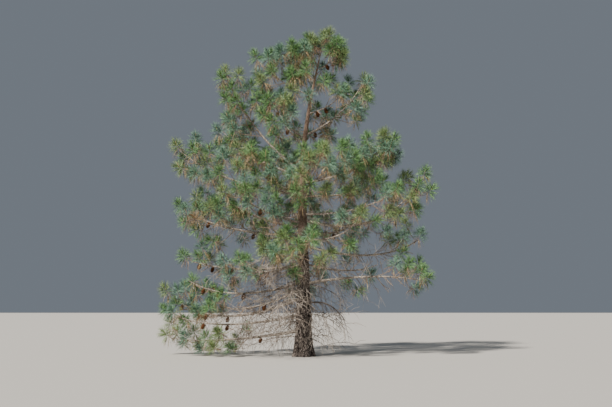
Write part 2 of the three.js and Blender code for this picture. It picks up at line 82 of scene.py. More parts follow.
STEMS = (
    ("left_inner", 5700, 160, 880, 1300, 120, 0.45),
    ("top_right", 7900, 350, 520, 380, 60, 0.3),
    ("top_left", 7600, 187, 780, 560, 60, 0.3),
    ("top_far_left", 7150, 192, 1380, 780, 100, 0.38),
    ("top_back", 7700, 100, 750, 420, 60, 0.3),
    ("top_front", 6950, 262, 750, 450, 60, 0.3),
    ("right_inner", 6650, 335, 800, 280, 60, 0.35),
    ("left_front_top", 5950, 218, 1050, 650, 80, 0.35),
    ("back_top", 6100, 68, 1350, 500, 100, 0.3),
    ("left_behind", 4900, 158, 2450, 1400, 250, 0.5),
    ("right_behind", 4350, 30, 2300, 450, 150, 0.38),
    ("left_front", 4300, 210, 1800, 950, 150, 0.38),
    ("left_front_low", 3600, 216, 2100, 700, 150, 0.42),
    ("front_right", 4500, 303, 1650, 700, 100, 0.35),
    ("front", 4150, 284, 1850, 900, 150, 0.38),
    ("front_left_low", 3150, 243, 2050, 350, 200, 0.4),
    ("front_right_low", 3150, 318, 1850, 350, 200, 0.4),
    ("front_low", 2650, 266, 2000, 400, 220, 0.4),
    ("left_front_lower", 2500, 207, 2050, -150, 200, 0.45),
    ("left_front_foot", 1850, 217, 2400, -550, 200, 0.45),
    ("back_left_high", 4750, 112, 2200, 1050, 200, 0.4),
    ("back", 3850, 90, 2800, 750, 300, 0.45),
    ("back_right", 3400, 52, 2700, 550, 300, 0.45),
    ("back_left", 3250, 135, 2700, 550, 300, 0.45),
    ("back_low", 2200, 88, 2600, 0, 250, 0.5),
    ("right_behind_low", 2500, 30, 2400, 0, 200, 0.5),
)
DEAD_LIMBS = (
    ("dead_twigs_right", 1380, 342, 1150, -400, -300, 0),
    ("dead_twigs_left", 1500, 228, 1350, -450, -260, 0),
)


def linear(hex_colour: str) -> tuple[float, float, float, float]:
    """Turns an sRGB colour into the linear one that a shader takes.

    Args:
        hex_colour: The colour as #rrggbb.

    Returns:
        Linear red, green and blue, and 1 for opaque.
    """
    # The sRGB curve has a straight foot for the darkest parts and a power above it.
    parts = [int(hex_colour[k : k + 2], 16) / 255 for k in (1, 3, 5)]
    red, green, blue = (
        part / 12.92 if part <= 0.04045 else ((part + 0.055) / 1.055) ** 2.4 for part in parts
    )
    return red, green, blue, 1.0


def add(tree: NodeTree, kind: str, inputs: dict[Any, Any] | None = None, **settings: Any) -> Node:
    """Adds one node with its settings, values and links.

    Args:
        tree: The tree that the node goes in.
        kind: The node's type.
        inputs: What each input takes, by name or number: a value, another node's output, or
            another node, which gives its first output that is in use.
        **settings: The node's own properties.

    Returns:
        The new node.
    """
    node = tree.nodes.new(kind)
    for name, value in settings.items():
        setattr(node, name, value)
    for key, value in (inputs or {}).items():
        if isinstance(value, Node):
            value = next(output for output in value.outputs if output.enabled)
        if isinstance(value, NodeSocket):
            tree.links.new(value, node.inputs[key])
        else:
            node.inputs[key].default_value = value
    return node


def placed(name: str, data: ID) -> Object:
    """Puts a new object in the scene.

    Args:
        name: The object's name.
        data: Its mesh, lamp or camera.

    Returns:
        The object.
    """
    made = bpy.data.objects.new(name, data)
    bpy.context.scene.collection.objects.link(made)
    return made


def mix(low: Any, high: Any, share: Any) -> Any:
    """The value a share of the way from low to high."""
    return low + (high - low) * share


def unit(vector: np.ndarray) -> np.ndarray:
    """The vector, or each row of vectors, at length 1."""
    return vector / np.linalg.norm(vector, axis=-1, keepdims=True)


def level(angle: float) -> np.ndarray:
    """The level direction at an angle in radians."""
    return np.array((math.cos(angle), math.sin(angle), 0.0))


def aside(out: np.ndarray) -> np.ndarray:
    """The level vector a quarter turn from the given one."""
    return np.array((-out[1], out[0], 0.0))


def first_axis(tangent: np.ndarray, steep: float = 0.9) -> np.ndarray:
    """An axis square to the tangent: upright, or level where the tangent itself is steep."""
    axis = UP if abs(tangent[2]) < steep else ACROSS
    return unit(axis - tangent * axis.dot(tangent))


def turned(vector: np.ndarray, axis: np.ndarray, angle: float) -> np.ndarray:
    """The vector turned about the axis by an angle in radians."""
    along = axis * axis.dot(vector) * (1 - math.cos(angle))
    return vector * math.cos(angle) + np.cross(axis, vector) * math.sin(angle) + along


class Chance:
    """Numbers from 0 to 1 that are the same for the same seed, as the solids' rule draws them."""

    RANGE = 2**32
    FACTOR, STEP = 1664525, 1013904223
    SEED_FACTOR, SEED_STEP = 2654435761, 12345

    def __init__(self, seed: int) -> None:
        """Starts the row of numbers that belongs to the seed, past its first two.

        Args:
            seed: The number of the row.
        """
        self.state = (seed * self.SEED_FACTOR + self.SEED_STEP) % self.RANGE
        self.draw()
        self.draw()

    def draw(self) -> float:
        """The next number."""
        self.state = (self.state * self.FACTOR + self.STEP) % self.RANGE
        return self.state / self.RANGE

    def about(self, spread: float) -> float:
        """A factor about 1 that varies by the spread from its lowest to its highest."""
        return 1 + spread * (self.draw() - 0.5)


@dataclass(frozen=True)
class Path:
    """A cubic curve through space.

    Attributes:
        corners: Its four corners, in millimetres.
        near: The share of it that its direction is measured over.
        pieces: How many straight pieces its length is measured in.
    """

    corners: np.ndarray
    near: float = 0.0001
    pieces: int = 200

    def at(self, share: Any) -> np.ndarray:
        """Finds the point, or the row of points, at a share of the curve.

        Args:
            share: The share, or a row of shares.

        Returns:
            The point or points, in millimetres.
        """
        t = np.asarray(share, float)[..., None]
        a, b, c, d = self.corners
        return (1 - t) ** 3 * a + 3 * (1 - t) ** 2 * t * b + 3 * (1 - t) * t**2 * c + t**3 * d

    def heading(self, share: float) -> np.ndarray:
        """The curve's direction at a share of it."""
        return unit(self.at(min(1.0, share + self.near)) - self.at(max(0.0, share - self.near)))

    def length(self) -> float:
        """The curve's length."""
        steps = np.diff(self.at(np.linspace(0, 1, self.pieces + 1)), axis=0)
        return float(np.linalg.norm(steps, axis=1).sum())


@dataclass
class Lines:
    """Lines in space with a thickness at each point, which a node tree turns into round wood.

    Attributes:
        points: Each line's points, in millimetres.
        radii: The wood's radius at each of them.
        shift: How much further along its bark each line starts than the last one, in metres,
            so that no two lines wear the same bark.
    """

    points: list[np.ndarray] = field(default_factory=list)
    radii: list[np.ndarray] = field(default_factory=list)
    shift: float = 3.7

    def add(self, points: Any, radii: Any) -> None:
        """Adds one line, in millimetres.

        Args:
            points: Its points.
            radii: The wood's radius at each point, or at the first and the last.
        """
        points, radii = np.asarray(points, float), np.asarray(radii, float)
        if len(radii) != len(points):
            radii = np.linspace(radii[0], radii[-1], len(points))
        self.points.append(points)
        self.radii.append(radii)

    def mesh(self, name: str) -> Mesh:
        """Makes the lines a mesh of edges, in metres.

        Args:
            name: The mesh's name.

        Returns:
            The mesh. Each point keeps the wood's radius and its distance along the wood.
        """
        edges, along, first = [], [], 0
        for k, points in enumerate(self.points):
            steps = np.linalg.norm(np.diff(points, axis=0), axis=1)
            along.append(np.concatenate(([0], np.cumsum(steps))) * MM + self.shift * k)
            places = np.arange(first, first + len(points))
            edges.append(np.column_stack((places[:-1], places[1:])))
            first += len(points)
        mesh = mesh_of(name, np.concatenate(self.points) * MM, edges=np.concatenate(edges))
        store(mesh, "thickness", np.concatenate(self.radii) * MM)
        store(mesh, "along", np.concatenate(along))
        return mesh


def mesh_of(name: str, points: np.ndarray, edges: Any = (), faces: Any = ()) -> Mesh:
    """Makes a mesh.

    Args:
        name: Its name.
        points: Its points, in metres.
        edges: The two points of each edge.
        faces: The points of each face.

    Returns:
        The mesh.
    """
    mesh = bpy.data.meshes.new(name)
    mesh.from_pydata(np.asarray(points).tolist(), np.asarray(edges, int).tolist(), list(faces))
    return mesh


def store(mesh: Mesh, name: str, values: np.ndarray) -> None:
    """Stores one number or one vector at each point of a mesh.

    Args:
        mesh: The mesh.
        name: The name that node trees read the values by.
        values: A row of numbers or of vectors.
    """
    flat = np.asarray(values, np.float32)
    kind, key = ("FLOAT_VECTOR", "vector") if flat.ndim == 2 else ("FLOAT", "value")
    mesh.attributes.new(name, kind, "POINT").data.foreach_set(key, flat.ravel())


class Slot(Enum):
    """The material slots."""

    BARK = "bark"
    BOUGH_BARK = "bough_bark"
    NEEDLES = "needles"
    CONES = "cones"
    DEAD_WOOD = "dead_wood"


@dataclass(frozen=True)
class Finish:
    """A finish of two tones of one colour in patches, with a fine grain in its relief.

    Attributes:
        name: What the real surface is.
        slot: The slot that it belongs to. It is not used.
        dark: Its darker tone.
        light: Its lighter tone.
        patch: The size of its patches, in millimetres.
        grain: The size of its grain, in millimetres.
        depth: How deep the grain is, in millimetres.
        roughness: From 0, glossy, to 1, matt.
        specular: The strength of its highlights.
        stops: The heights of the noise that the darker tone ends and the lighter one begins at.
    """

    name: str
    slot: Slot
    dark: str
    light: str
    patch: float
    grain: float
    depth: float
    roughness: float
    specular: float = 0.3
    stops: tuple[float, float] = (0.4, 0.6)

    def material(self) -> Material:
        """Makes the material.

        Returns:
            The material, named for the real surface.
        """
        made = bpy.data.materials.new(self.name)
        made.use_nodes = True
        tree = made.node_tree
        tree.nodes.clear()
        place = self.place(tree)
        spots = {"Vector": place, "Scale": 1 / (self.patch * MM), "Detail": 3.0, "Roughness": 0.6}
        patches = add(tree, "ShaderNodeTexNoise", spots)
        fine = {"Vector": place, "Scale": 1 / (self.grain * MM), "Detail": 2.0}
        grain = add(tree, "ShaderNodeTexNoise", fine)
        relief = add(tree, "ShaderNodeBump", {"Height": grain, "Distance": self.depth * MM})
        surface = {
            "Base Color": self.colour(tree, place, patches),
            "Roughness": self.roughness,
            "Specular IOR Level": self.specular,
            "Normal": relief,
        }
        shader = add(tree, "ShaderNodeBsdfPrincipled", surface)
        add(tree, "ShaderNodeOutputMaterial", {"Surface": shader})
        return made

    def place(self, tree: NodeTree) -> NodeSocket:
        """Where the pattern lies: the piece's own space."""
        return add(tree, "ShaderNodeTexCoord").outputs["Object"]

    def colour(self, tree: NodeTree, place: NodeSocket, patches: Node) -> Node:
        """Gives each spot its colour, from the darker to the lighter tone by the patches.

        Args:
            tree: The material's tree.
            place: Where the pattern lies.
            patches: The noise that the patches come from.

        Returns:
            The node that gives the colour.
        """
        ramp = add(tree, "ShaderNodeValToRGB", {"Fac": patches})
        for stop, at, tone in zip(ramp.color_ramp.elements, self.stops, (self.dark, self.light)):
            stop.position, stop.color = at, linear(tone)
        return ramp


@dataclass(frozen=True, kw_only=True)
class BarkFinish(Finish):
    """Bark in plates along the wood, with another colour down in its furrows.

    Attributes:
        furrow: The colour at the bottom of the furrows.
        plate: The width and the height of a plate, in millimetres.
        upper: The plates' tone high on the stem, where the bark is young, if it differs.
        change: The heights that the change begins and ends at, in metres.
        change_share: How much of the upper tone there is at the end of the change.
        edge: How far a furrow's colour reaches, from its first to its last trace, as shares of
            a plate's width.
    """

    furrow: str
    plate: tuple[float, float]
    upper: str | None = None
    change: tuple[float, float] = (0.0, 1.0)
    change_share: float = 0.75
    edge: tuple[float, float] = (0.02, 0.16)

    def place(self, tree: NodeTree) -> NodeSocket:
        """The wood's own space, in which it lies straight."""
        return add(tree, "ShaderNodeAttribute", attribute_name="grain").outputs["Vector"]

    def colour(self, tree: NodeTree, place: NodeSocket, patches: Node) -> Node:
        """Gives the plates their two tones, and the furrows between them their own colour.

        Args:
            tree: The material's tree.
            place: Where the pattern lies.
            patches: The noise that the patches come from.

        Returns:
            The node that gives the colour.
        """
        tones = super().colour(tree, place, patches)
        width, height = self.plate
        cells = bark_plates(tree, place, width * MM, width / height)[0]
        reach = {"Value": cells, "From Min": self.edge[0], "From Max": self.edge[1]}
        near = add(tree, "ShaderNodeMapRange", reach, interpolation_type="SMOOTHSTEP")
        parts = {"Factor": near, "A": linear(self.furrow), "B": tones}
        bark = add(tree, "ShaderNodeMix", parts, data_type="RGBA")
        return self.young_above(tree, place, bark) if self.upper else bark

    def young_above(self, tree: NodeTree, place: NodeSocket, bark: Node) -> Node:
        """Mixes the bark's colour with the upper tone by the height along the stem.

        Args:
            tree: The material's tree.
            place: Where the pattern lies.
            bark: The node that gives the old bark's colour.

        Returns:
            The node that gives the colour.
        """
        height = add(tree, "ShaderNodeSeparateXYZ", {"Vector": place}).outputs["Z"]
        low, high = self.change
        reach = {"Value": height, "From Min": low, "From Max": high, "To Max": self.change_share}
        share = add(tree, "ShaderNodeMapRange", reach)
        parts = {"Factor": share, "A": bark, "B": linear(self.upper)}
        return add(tree, "ShaderNodeMix", parts, data_type="RGBA")


def bark_plates(tree: NodeTree, place: Any, width: Any, stretch: Any) -> tuple[Node, Node, Node]:
    """Parts bark into plates, alike in a material's tree and in a geometry tree.

    Args:
        tree: The tree.
        place: The wood's own space, in metres, as a node or its output.
        width: A plate's width in metres, as a value or an output.
        stretch: Its width as a share of its height, as a value or an output.

    Returns:
        The node that gives how far each spot lies from its plate's edge, as a share of the
        plate, and the nodes that give the space and the scale that the plates lie in.
    """
    scale = add(tree, "ShaderNodeMath", {0: 1.0, 1: width}, operation="DIVIDE")
    sway = add(tree, "ShaderNodeTexNoise", {"Vector": place, "Scale": scale}).outputs["Color"]
    half = add(tree, "ShaderNodeMath", {0: width, 1: 0.5}, operation="MULTIPLY")
    swing = add(tree, "ShaderNodeVectorMath", {0: sway, "Scale": half}, operation="SCALE")
    swayed = add(tree, "ShaderNodeVectorMath", {0: swing, 1: place}, operation="ADD")
    shape = add(tree, "ShaderNodeCombineXYZ", {"X": 1.0, "Y": 1.0, "Z": stretch})
    space = add(tree, "ShaderNodeVectorMath", {0: swayed, 1: shape}, operation="MULTIPLY")
    cell = {"Vector": space, "Scale": scale}
    return add(tree, "ShaderNodeTexVoronoi", cell, feature="DISTANCE_TO_EDGE"), space, scale


# Old pine bark: dry, cracked plates. Matt, grey with a warm cast, and dark in the cracks.
TRUNK_BARK = BarkFinish(
    "furrowed_pine_bark", Slot.BARK, "#3a3431", "#857c76", patch=30, grain=7, depth=5,
    roughness=0.95, specular=0.2, furrow="#1e1816", plate=(34, 130), upper="#8f7868",
    change=(1.8, 5.0),
)

# Younger bark on the limbs: thinner scales, paler, and still matt.
LIMB_BARK = BarkFinish(
    "scaly_limb_bark", Slot.BOUGH_BARK, "#887e73", "#cbc2b5", patch=40, grain=6, depth=2,
    roughness=0.9, specular=0.2, furrow="#5d5148", plate=(20, 60),
)

# The young wood of the twigs, smooth and tan.
TWIG_BARK = Finish(
    "young_twig_bark", Slot.BOUGH_BARK, "#6f5f50", "#a5917d", patch=25, grain=4, depth=0.5,
    roughness=0.85,
)

# The new growth that stands over the needles at each shoot's end: papery scales, pale orange.
BUD = Finish(
    "papery_bud_scales", Slot.BOUGH_BARK, "#b98a62", "#d9b491", patch=12, grain=4, depth=0.5,
    roughness=0.7,
)

# Dead wood that has lost its bark and weathered: silvery grey and dull.
WEATHERED = Finish(
    "weathered_dead_wood", Slot.DEAD_WOOD, "#574d45", "#ada399", patch=400, grain=5, depth=0.6,
    roughness=0.92,
)

# Dry cone scales, woody and dark, with a slight gloss.
CONE = Finish(
    "dry_cone_scales", Slot.CONES, "#3a2213", "#80522c", patch=18, grain=5, depth=0.8,
    roughness=0.6,
)


def needle_finish(name: str, dark: str, light: str, roughness: float = 0.5) -> Finish:
    """A finish of needles, which change their tone from one handful to the next."""
    size = {"patch": 60, "grain": 5, "depth": 0.2}
    return Finish(name, Slot.NEEDLES, dark, light, roughness=roughness, **size)


class Tint(Enum):
    """The colours of needles. Green ones are waxy, with a soft gloss, and dry ones are duller."""

    GREEN = needle_finish("green_needles", "#294924", "#88b373")
    GREY_GREEN = needle_finish("grey_green_needles", "#304f40", "#8fb69b")
    OLIVE = needle_finish("olive_needles", "#3f522e", "#9fb77b")
    TAN = needle_finish("dry_tan_needles", "#614d34", "#c8b088", 0.75)
    RUSSET = needle_finish("dry_russet_needles", "#4d3a2a", "#b09376", 0.75)


def new_tree(name: str, inputs: dict[str, str], output: str) -> NodeTree:
    """Starts a geometry tree.

    Args:
        name: The tree's name.
        inputs: Each input's name and kind.
        output: The name of the geometry that it gives.

    Returns:
        The tree, still without nodes.
    """
    tree = bpy.data.node_groups.new(name, "GeometryNodeTree")
    for label, kind in inputs.items():
        tree.interface.new_socket(label, in_out="INPUT", socket_type=f"NodeSocket{kind}")
    tree.interface.new_socket(output, in_out="OUTPUT", socket_type="NodeSocketGeometry")
    return tree


def wood_tree() -> NodeTree:
    """Makes the node tree that turns lines with a thickness into round wood with bark in relief.

    Returns:
        The tree.
    """
    kinds = {
        "Lines": "Geometry", "Sides": "Int", "Relief": "Float", "Plate width": "Float",
        "Plate stretch": "Float", "Lobe depth": "Float", "Material": "Material",
    }
    tree = new_tree("round_wood", kinds, "Wood")
    given = add(tree, "NodeGroupInput").outputs
    thickness, along = (
        add(tree, "GeometryNodeInputNamedAttribute", {"Name": name}, data_type="FLOAT")
        for name in ("thickness", "along")
    )
    side, core, grain = (
        add(tree, "GeometryNodeInputNamedAttribute", {"Name": name}, data_type="FLOAT_VECTOR")
        for name in ("side", "core", "grain")
    )
    position = add(tree, "GeometryNodeInputPosition")

    # The skin: a circle goes along each line, and each point of it keeps its place on the circle
    # and the place of the wood's core.
    curve = add(tree, "GeometryNodeMeshToCurve", {"Mesh": given["Lines"]})
    ring = {"Resolution": given["Sides"], "Radius": 1.0}
    circle = add(tree, "GeometryNodeCurvePrimitiveCircle", ring)
    keep = "GeometryNodeStoreNamedAttribute"
    cored, rounded = (
        add(tree, keep, {"Geometry": shape, "Name": name, "Value": position}, data_type="FLOAT_VECTOR")
        for shape, name in ((curve, "core"), (circle, "side"))
    )
    swept = {"Curve": cored, "Profile Curve": rounded, "Scale": thickness, "Fill Caps": True}
    skin = add(tree, "GeometryNodeCurveToMesh", swept)

    # The wood's own space, in which it lies straight.
    flat = add(tree, "ShaderNodeVectorMath", {0: side, "Scale": thickness}, operation="SCALE")
    shift = add(tree, "ShaderNodeCombineXYZ", {"Z": along})
    straight = add(tree, "ShaderNodeVectorMath", {0: flat, 1: shift}, operation="ADD")
    named = {"Geometry": skin, "Name": "grain", "Value": straight}
    grained = add(tree, keep, named, data_type="FLOAT_VECTOR")

    radial = add(tree, "ShaderNodeVectorMath", {0: position, 1: core}, operation="SUBTRACT")
    lift = bark_relief(tree, grain, radial, given)
    flare = root_lobes(tree, position, radial, given["Lobe depth"])
    moved = add(tree, "ShaderNodeVectorMath", {0: lift, 1: flare}, operation="ADD")
    shaped = add(tree, "GeometryNodeSetPosition", {"Geometry": grained, "Offset": moved})

    # Nothing goes below the ground. The lowest value lets the other two directions be.
    lowest = (-1e3, -1e3, 0)
    ground = add(tree, "ShaderNodeVectorMath", {0: position, 1: lowest}, operation="MAXIMUM")
    grounded = add(tree, "GeometryNodeSetPosition", {"Geometry": shaped, "Position": ground})
    real = add(tree, "GeometryNodeRealizeInstances", {"Geometry": grounded})
    painted = {"Geometry": real, "Material": given["Material"]}
    add(tree, "NodeGroupOutput", {"Wood": add(tree, "GeometryNodeSetMaterial", painted)})
    return tree


def bark_relief(tree: NodeTree, grain: Node, radial: Node, given: Any) -> Node:
    """Sinks the bark to its full depth along the edges of its plates, and roughens the plates.

    Args:
        tree: The wood's tree.
        grain: The node that gives the wood's own space.
        radial: The node that gives the way from the core to the skin.
        given: The tree's inputs.

    Returns:
        The node that gives how far each point of the skin moves.
    """
    cells, space, scale = bark_plates(tree, grain, given["Plate width"], given["Plate stretch"])
    furrow = {"Value": cells, "From Max": 0.2, "To Min": -1.0, "To Max": 0.0}
    sunk = add(tree, "ShaderNodeMapRange", furrow, interpolation_type="SMOOTHSTEP")
    rough = add(tree, "ShaderNodeTexNoise", {"Vector": space, "Scale": scale, "Detail": 4.0})
    relief = add(tree, "ShaderNodeMath", {0: sunk, 1: rough}, operation="ADD")
    depth = add(tree, "ShaderNodeMath", {0: relief, 1: given["Relief"]}, operation="MULTIPLY")
    outward = add(tree, "ShaderNodeVectorMath", {0: radial}, operation="NORMALIZE")
    return add(tree, "ShaderNodeVectorMath", {0: outward, "Scale": depth}, operation="SCALE")


def root_lobes(
    tree: NodeTree, position: Node, radial: Node, lobe: NodeSocket, count: float = 5.0, fade: float = 0.35
) -> Node:
    """Raises the lobes of the root flare: ridges that fade out with the height.

    Args:
        tree: The wood's tree.
        position: The node that gives each point's place.
        radial: The node that gives the way from the core to the skin.
        lobe: The output that gives the lobes' depth, as a share of the radius.
        count: How many ridges there are.
        fade: The height at which they are down to about a third, in metres.

    Returns:
        The node that gives how far each point of the skin moves.
    """
    parts = add(tree, "ShaderNodeSeparateXYZ", {"Vector": radial}).outputs
    angle = add(tree, "ShaderNodeMath", {0: parts["Y"], 1: parts["X"]}, operation="ARCTAN2")
    turns = add(tree, "ShaderNodeMath", {0: angle, 1: count}, operation="MULTIPLY")
    ridges = add(tree, "ShaderNodeMath", {0: turns}, operation="COSINE")
    height = add(tree, "ShaderNodeSeparateXYZ", {"Vector": position}).outputs["Z"]
    faded = add(tree, "ShaderNodeMath", {0: height, 1: -1 / fade}, operation="MULTIPLY")
    share = add(tree, "ShaderNodeMath", {0: faded}, operation="EXPONENT")
    ridge = add(tree, "ShaderNodeMath", {0: ridges, 1: share}, operation="MULTIPLY")
    raised = add(tree, "ShaderNodeMath", {0: ridge, 1: lobe}, operation="MULTIPLY")
    return add(tree, "ShaderNodeVectorMath", {0: radial, "Scale": raised}, operation="SCALE")


def leaf_tree() -> NodeTree:
    """Makes the node tree that sets a small shape on each point, and lets it hang by its weight.

    A point says where the shape aims, which way it faces, its size and how far its tip falls.

    Returns:
        The tree.
    """
    kinds = {"Points": "Geometry", "Shape": "Object", "Material": "Material"}
    tree = new_tree("small_shapes", kinds, "Leaves")
    given = add(tree, "NodeGroupInput").outputs
    aim, facing, size = (
        add(tree, "GeometryNodeInputNamedAttribute", {"Name": name}, data_type="FLOAT_VECTOR")
        for name in ("aim", "facing", "size")
    )
    fall, along = (
        add(tree, "GeometryNodeInputNamedAttribute", {"Name": name}, data_type="FLOAT")
        for name in ("fall", "along")
    )
    shape = add(tree, "GeometryNodeObjectInfo", {"Object": given["Shape"]}).outputs["Geometry"]
    aimed = add(tree, "FunctionNodeAlignRotationToVector", {"Vector": aim}, axis="Z")
    turning = {"Rotation": aimed, "Vector": facing}
    faced = add(tree, "FunctionNodeAlignRotationToVector", turning, axis="Y", pivot_axis="Z")
    setting = {"Points": given["Points"], "Instance": shape, "Rotation": faced, "Scale": size}
    leaves = add(tree, "GeometryNodeInstanceOnPoints", setting)
    real = add(tree, "GeometryNodeRealizeInstances", {"Geometry": leaves})
    square = add(tree, "ShaderNodeMath", {0: along, 1: 2.0}, operation="POWER")
    drop = add(tree, "ShaderNodeMath", {0: square, 1: fall}, operation="MULTIPLY")
    down = add(tree, "ShaderNodeVectorMath", {0: (0, 0, -1), "Scale": drop}, operation="SCALE")
    hung = add(tree, "GeometryNodeSetPosition", {"Geometry": real, "Offset": down})
    painted = {"Geometry": hung, "Material": given["Material"]}
    add(tree, "NodeGroupOutput", {"Leaves": add(tree, "GeometryNodeSetMaterial", painted)})
    return tree


class Workshop:
    """The node trees and the materials, made once, and the making of a piece by them."""

    # What the node trees read, and a finished piece has no use for.
    SPARE = ("aim", "facing", "size", "fall", "along", "thickness", "core", "side")

    def __init__(self) -> None:
        """Makes the two node trees."""
        self.wood = wood_tree()
        self.leaf = leaf_tree()
        self.materials: dict[Finish, Material] = {}

    def material(self, finish: Finish) -> Material:
        """Gives a finish's material, made the first time that it is wanted.

        Args:
            finish: The finish.

        Returns:
            Its material.
        """
        if finish not in self.materials:
            self.materials[finish] = finish.material()
        return self.materials[finish]

    def piece(
        self, name: str, source: Mesh, tree: NodeTree, finish: Finish, values: dict[str, Any]
    ) -> Object:
        """Runs a node tree on a mesh and keeps the result as a plain mesh.

        Args:
            name: The piece's name.
            source: The points or lines that the node tree works on.
            tree: The node tree.
            finish: The piece's finish.
            values: What each named input of the node tree takes.

        Returns:
            The finished piece, which rides on the pine's one body.
        """
        made = placed(name, source)
        modifier = made.modifiers.new(name, "NODES")
        modifier.node_group = tree
        values = values | {"Material": self.material(finish)}
        for item in tree.interface.items_tree:
            if item.name in values:
                modifier[item.identifier] = values[item.name]
        graph = bpy.context.evaluated_depsgraph_get()
        mesh = bpy.data.meshes.new_from_object(
            made.evaluated_get(graph), preserve_all_data_layers=True, depsgraph=graph
        )
        made.modifiers.clear()
        made.data = mesh
        bpy.data.meshes.remove(source)
        mesh.name = name
        for spare in self.SPARE:
            if spare in mesh.attributes:
                mesh.attributes.remove(mesh.attributes[spare])
        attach(made, "root")
        mesh.calc_loop_triangles()
        log.info("%s: %d triangles", name, len(mesh.loop_triangles))
        return made

    def round_wood(
        self,
        name: str,
        lines: Lines,
        finish: Finish,
        sides: int,
        relief: float = 0.0,
        plate: tuple[float, float] = (60.0, 60.0),
        lobe: float = 0.0,
    ) -> Object:
        """Makes a piece of round wood along lines.

        Args:
            name: The piece's name.
            lines: The lines.
            finish: The piece's finish.
            sides: How many sides the wood has.
            relief: How deep its bark is, in millimetres.
            plate: The width and the height of a plate, in millimetres, where there is relief.
            lobe: The depth of the root flare's lobes, as a share of the radius.

        Returns:
            The finished piece.
        """
        values = {
            "Sides": sides,
            "Relief": relief * MM,
            "Plate width": plate[0] * MM,
            "Plate stretch": plate[0] / plate[1],
            "Lobe depth": lobe,
        }
        return self.piece(name, lines.mesh(name + "_lines"), self.wood, finish, values)

    def scattered(
        self, name: str, points: dict[str, np.ndarray], shape: Object, finish: Finish
    ) -> Object:
        """Makes a piece of many small shapes, one on each point.

        Args:
            name: The piece's name.
            points: Each point's place, and what the node tree reads at it.
            shape: The shape.
            finish: The piece's finish.

        Returns:
            The finished piece.
        """
        source = mesh_of(name + "_points", points["place"])
        for key in ("aim", "facing", "size", "fall"):
            store(source, key, points[key])
        return self.piece(name, source, self.leaf, finish, {"Shape": shape})


def small_shape(name: str, points: Sequence[Any], faces: Sequence[Any]) -> Object:
    """Makes a shape of unit length whose points know their share of its length.

    Args:
        name: The shape's name.
        points: Its points, from the root at height 0 to the tip at height 1.
        faces: The points of each face.

    Returns:
        The shape, to be removed when its pieces are made.
    """
    mesh = mesh_of(name, np.array(points, float), faces=faces)
    store(mesh, "along", np.array([point[2] for point in points]))
    return placed(name, mesh)


def joined(parts: Sequence[dict[str, np.ndarray]]) -> dict[str, np.ndarray]:
    """Several parts' points as one."""
    return {key: np.concatenate([part[key] for part in parts]) for key in parts[0]}


@dataclass(frozen=True)
class Trunk:
    """The stem: its taper, its lean to the right near the top, and its lobed root flare.

    Attributes:
        top: The height of its tip. This and the other lengths are in millimetres.
        butt_radius: Its radius at the ground, without the flare.
        top_radius: Its radius at the tip.
        taper: The power of its taper: 1 is even, and more is slimmer in the middle.
        flare: How much the root flare adds to the radius at the ground.
        flare_height: The height at which the flare is down to about a third.
        lobe_depth: The depth of the flare's lobes, as a share of the radius.
        lean: How far the tip is to the right.
        lean_start: The height that the lean begins at.
        lean_power: The power of the lean.
        sway: How far its line sways.
        sway_length: How long its sways are, across and in depth.
        sides: How many sides it has.
        step: The distance from one ring to the next.
        relief: How deep its bark is.
    """

    top: float = 8180.0
    butt_radius: float = 226.0
    top_radius: float = 16.0
    taper: float = 1.2
    flare: float = 85.0
    flare_height: float = 380.0
    lobe_depth: float = 0.14
    lean: float = 440.0
    lean_start: float = 5300.0
    lean_power: float = 1.6
    sway: float = 14.0
    sway_length: tuple[float, float] = (900.0, 1150.0)
    sides: int = 96
    step: float = 20.0
    relief: float = 13.0

    def at(self, height: float) -> np.ndarray:
        """Finds the trunk's centre at a height.

        Args:
            height: The height, in millimetres.

        Returns:
            The centre.
        """
        share = max(0.0, (height - self.lean_start) / (self.top - self.lean_start))
        x = self.lean * share**self.lean_power + self.sway * math.sin(height / self.sway_length[0])
        return np.array((x, self.sway * math.sin(height / self.sway_length[1]), height))

    def radius(self, height: float) -> float:
        """Works out the trunk's radius at a height, without its lobes.

        Args:
            height: The height, in millimetres.

        Returns:
            The radius.
        """
        taper = max(0.0, 1 - height / self.top) ** self.taper
        flare = self.flare * math.exp(-height / self.flare_height)
        return mix(self.top_radius, self.butt_radius, taper) + flare

    def build(self, shop: Workshop) -> None:
        """Makes the trunk with its bark in relief.

        Args:
            shop: The workshop.
        """
        lines = Lines()
        heights = np.linspace(0, self.top, int(self.top / self.step))
        lines.add([self.at(h) for h in heights], [self.radius(h) for h in heights])
        size = (self.sides, self.relief, TRUNK_BARK.plate, self.lobe_depth)
        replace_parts(shop.round_wood("trunk_bark", lines, TRUNK_BARK, *size), "trunk")


@dataclass
class Limb:
    """One limb, from the trunk's centre to its tip, as the solids' rule lays it.

    Attributes:
        name: Its name in the solids.
        bough: The share of it that is a bare bough of its own.
        leafy: The share of it where its twigs begin.
        seed: The number that its chances come from.
        path: Its curve, in millimetres.
        root_radius: Its radius at the trunk.
        end_radius: Its radius at its tip.
        twigs: How many twigs it has, where that is given.
        line_parts: How many straight parts the line has that its space is measured from.
    """

    name: str
    bough: float
    leafy: float
    seed: int
    path: Path
    root_radius: float
    end_radius: float = 12.0
    twigs: int | None = None
    line_parts: int = 16

    def __post_init__(self) -> None:
        """Works out its length and the line that its space is measured from."""
        self.length = self.path.length()
        self.line = self.path.at(np.linspace(0, 1, self.line_parts + 1))

    def radius(self, share: Any) -> Any:
        """The limb's radius at a share of it."""
        return mix(self.root_radius, self.end_radius, share)


@dataclass
class Twig:
    """A twig from its root to its neck, and the core of its spray ahead of the neck."""

    root: np.ndarray
    neck: np.ndarray
    ahead: np.ndarray
    core_length: float = 260.0

    def __post_init__(self) -> None:
        """Works out the middle and the front of the core."""
        self.shoulder = self.neck + self.ahead * self.core_length / 2
        self.front = self.neck + self.ahead * self.core_length


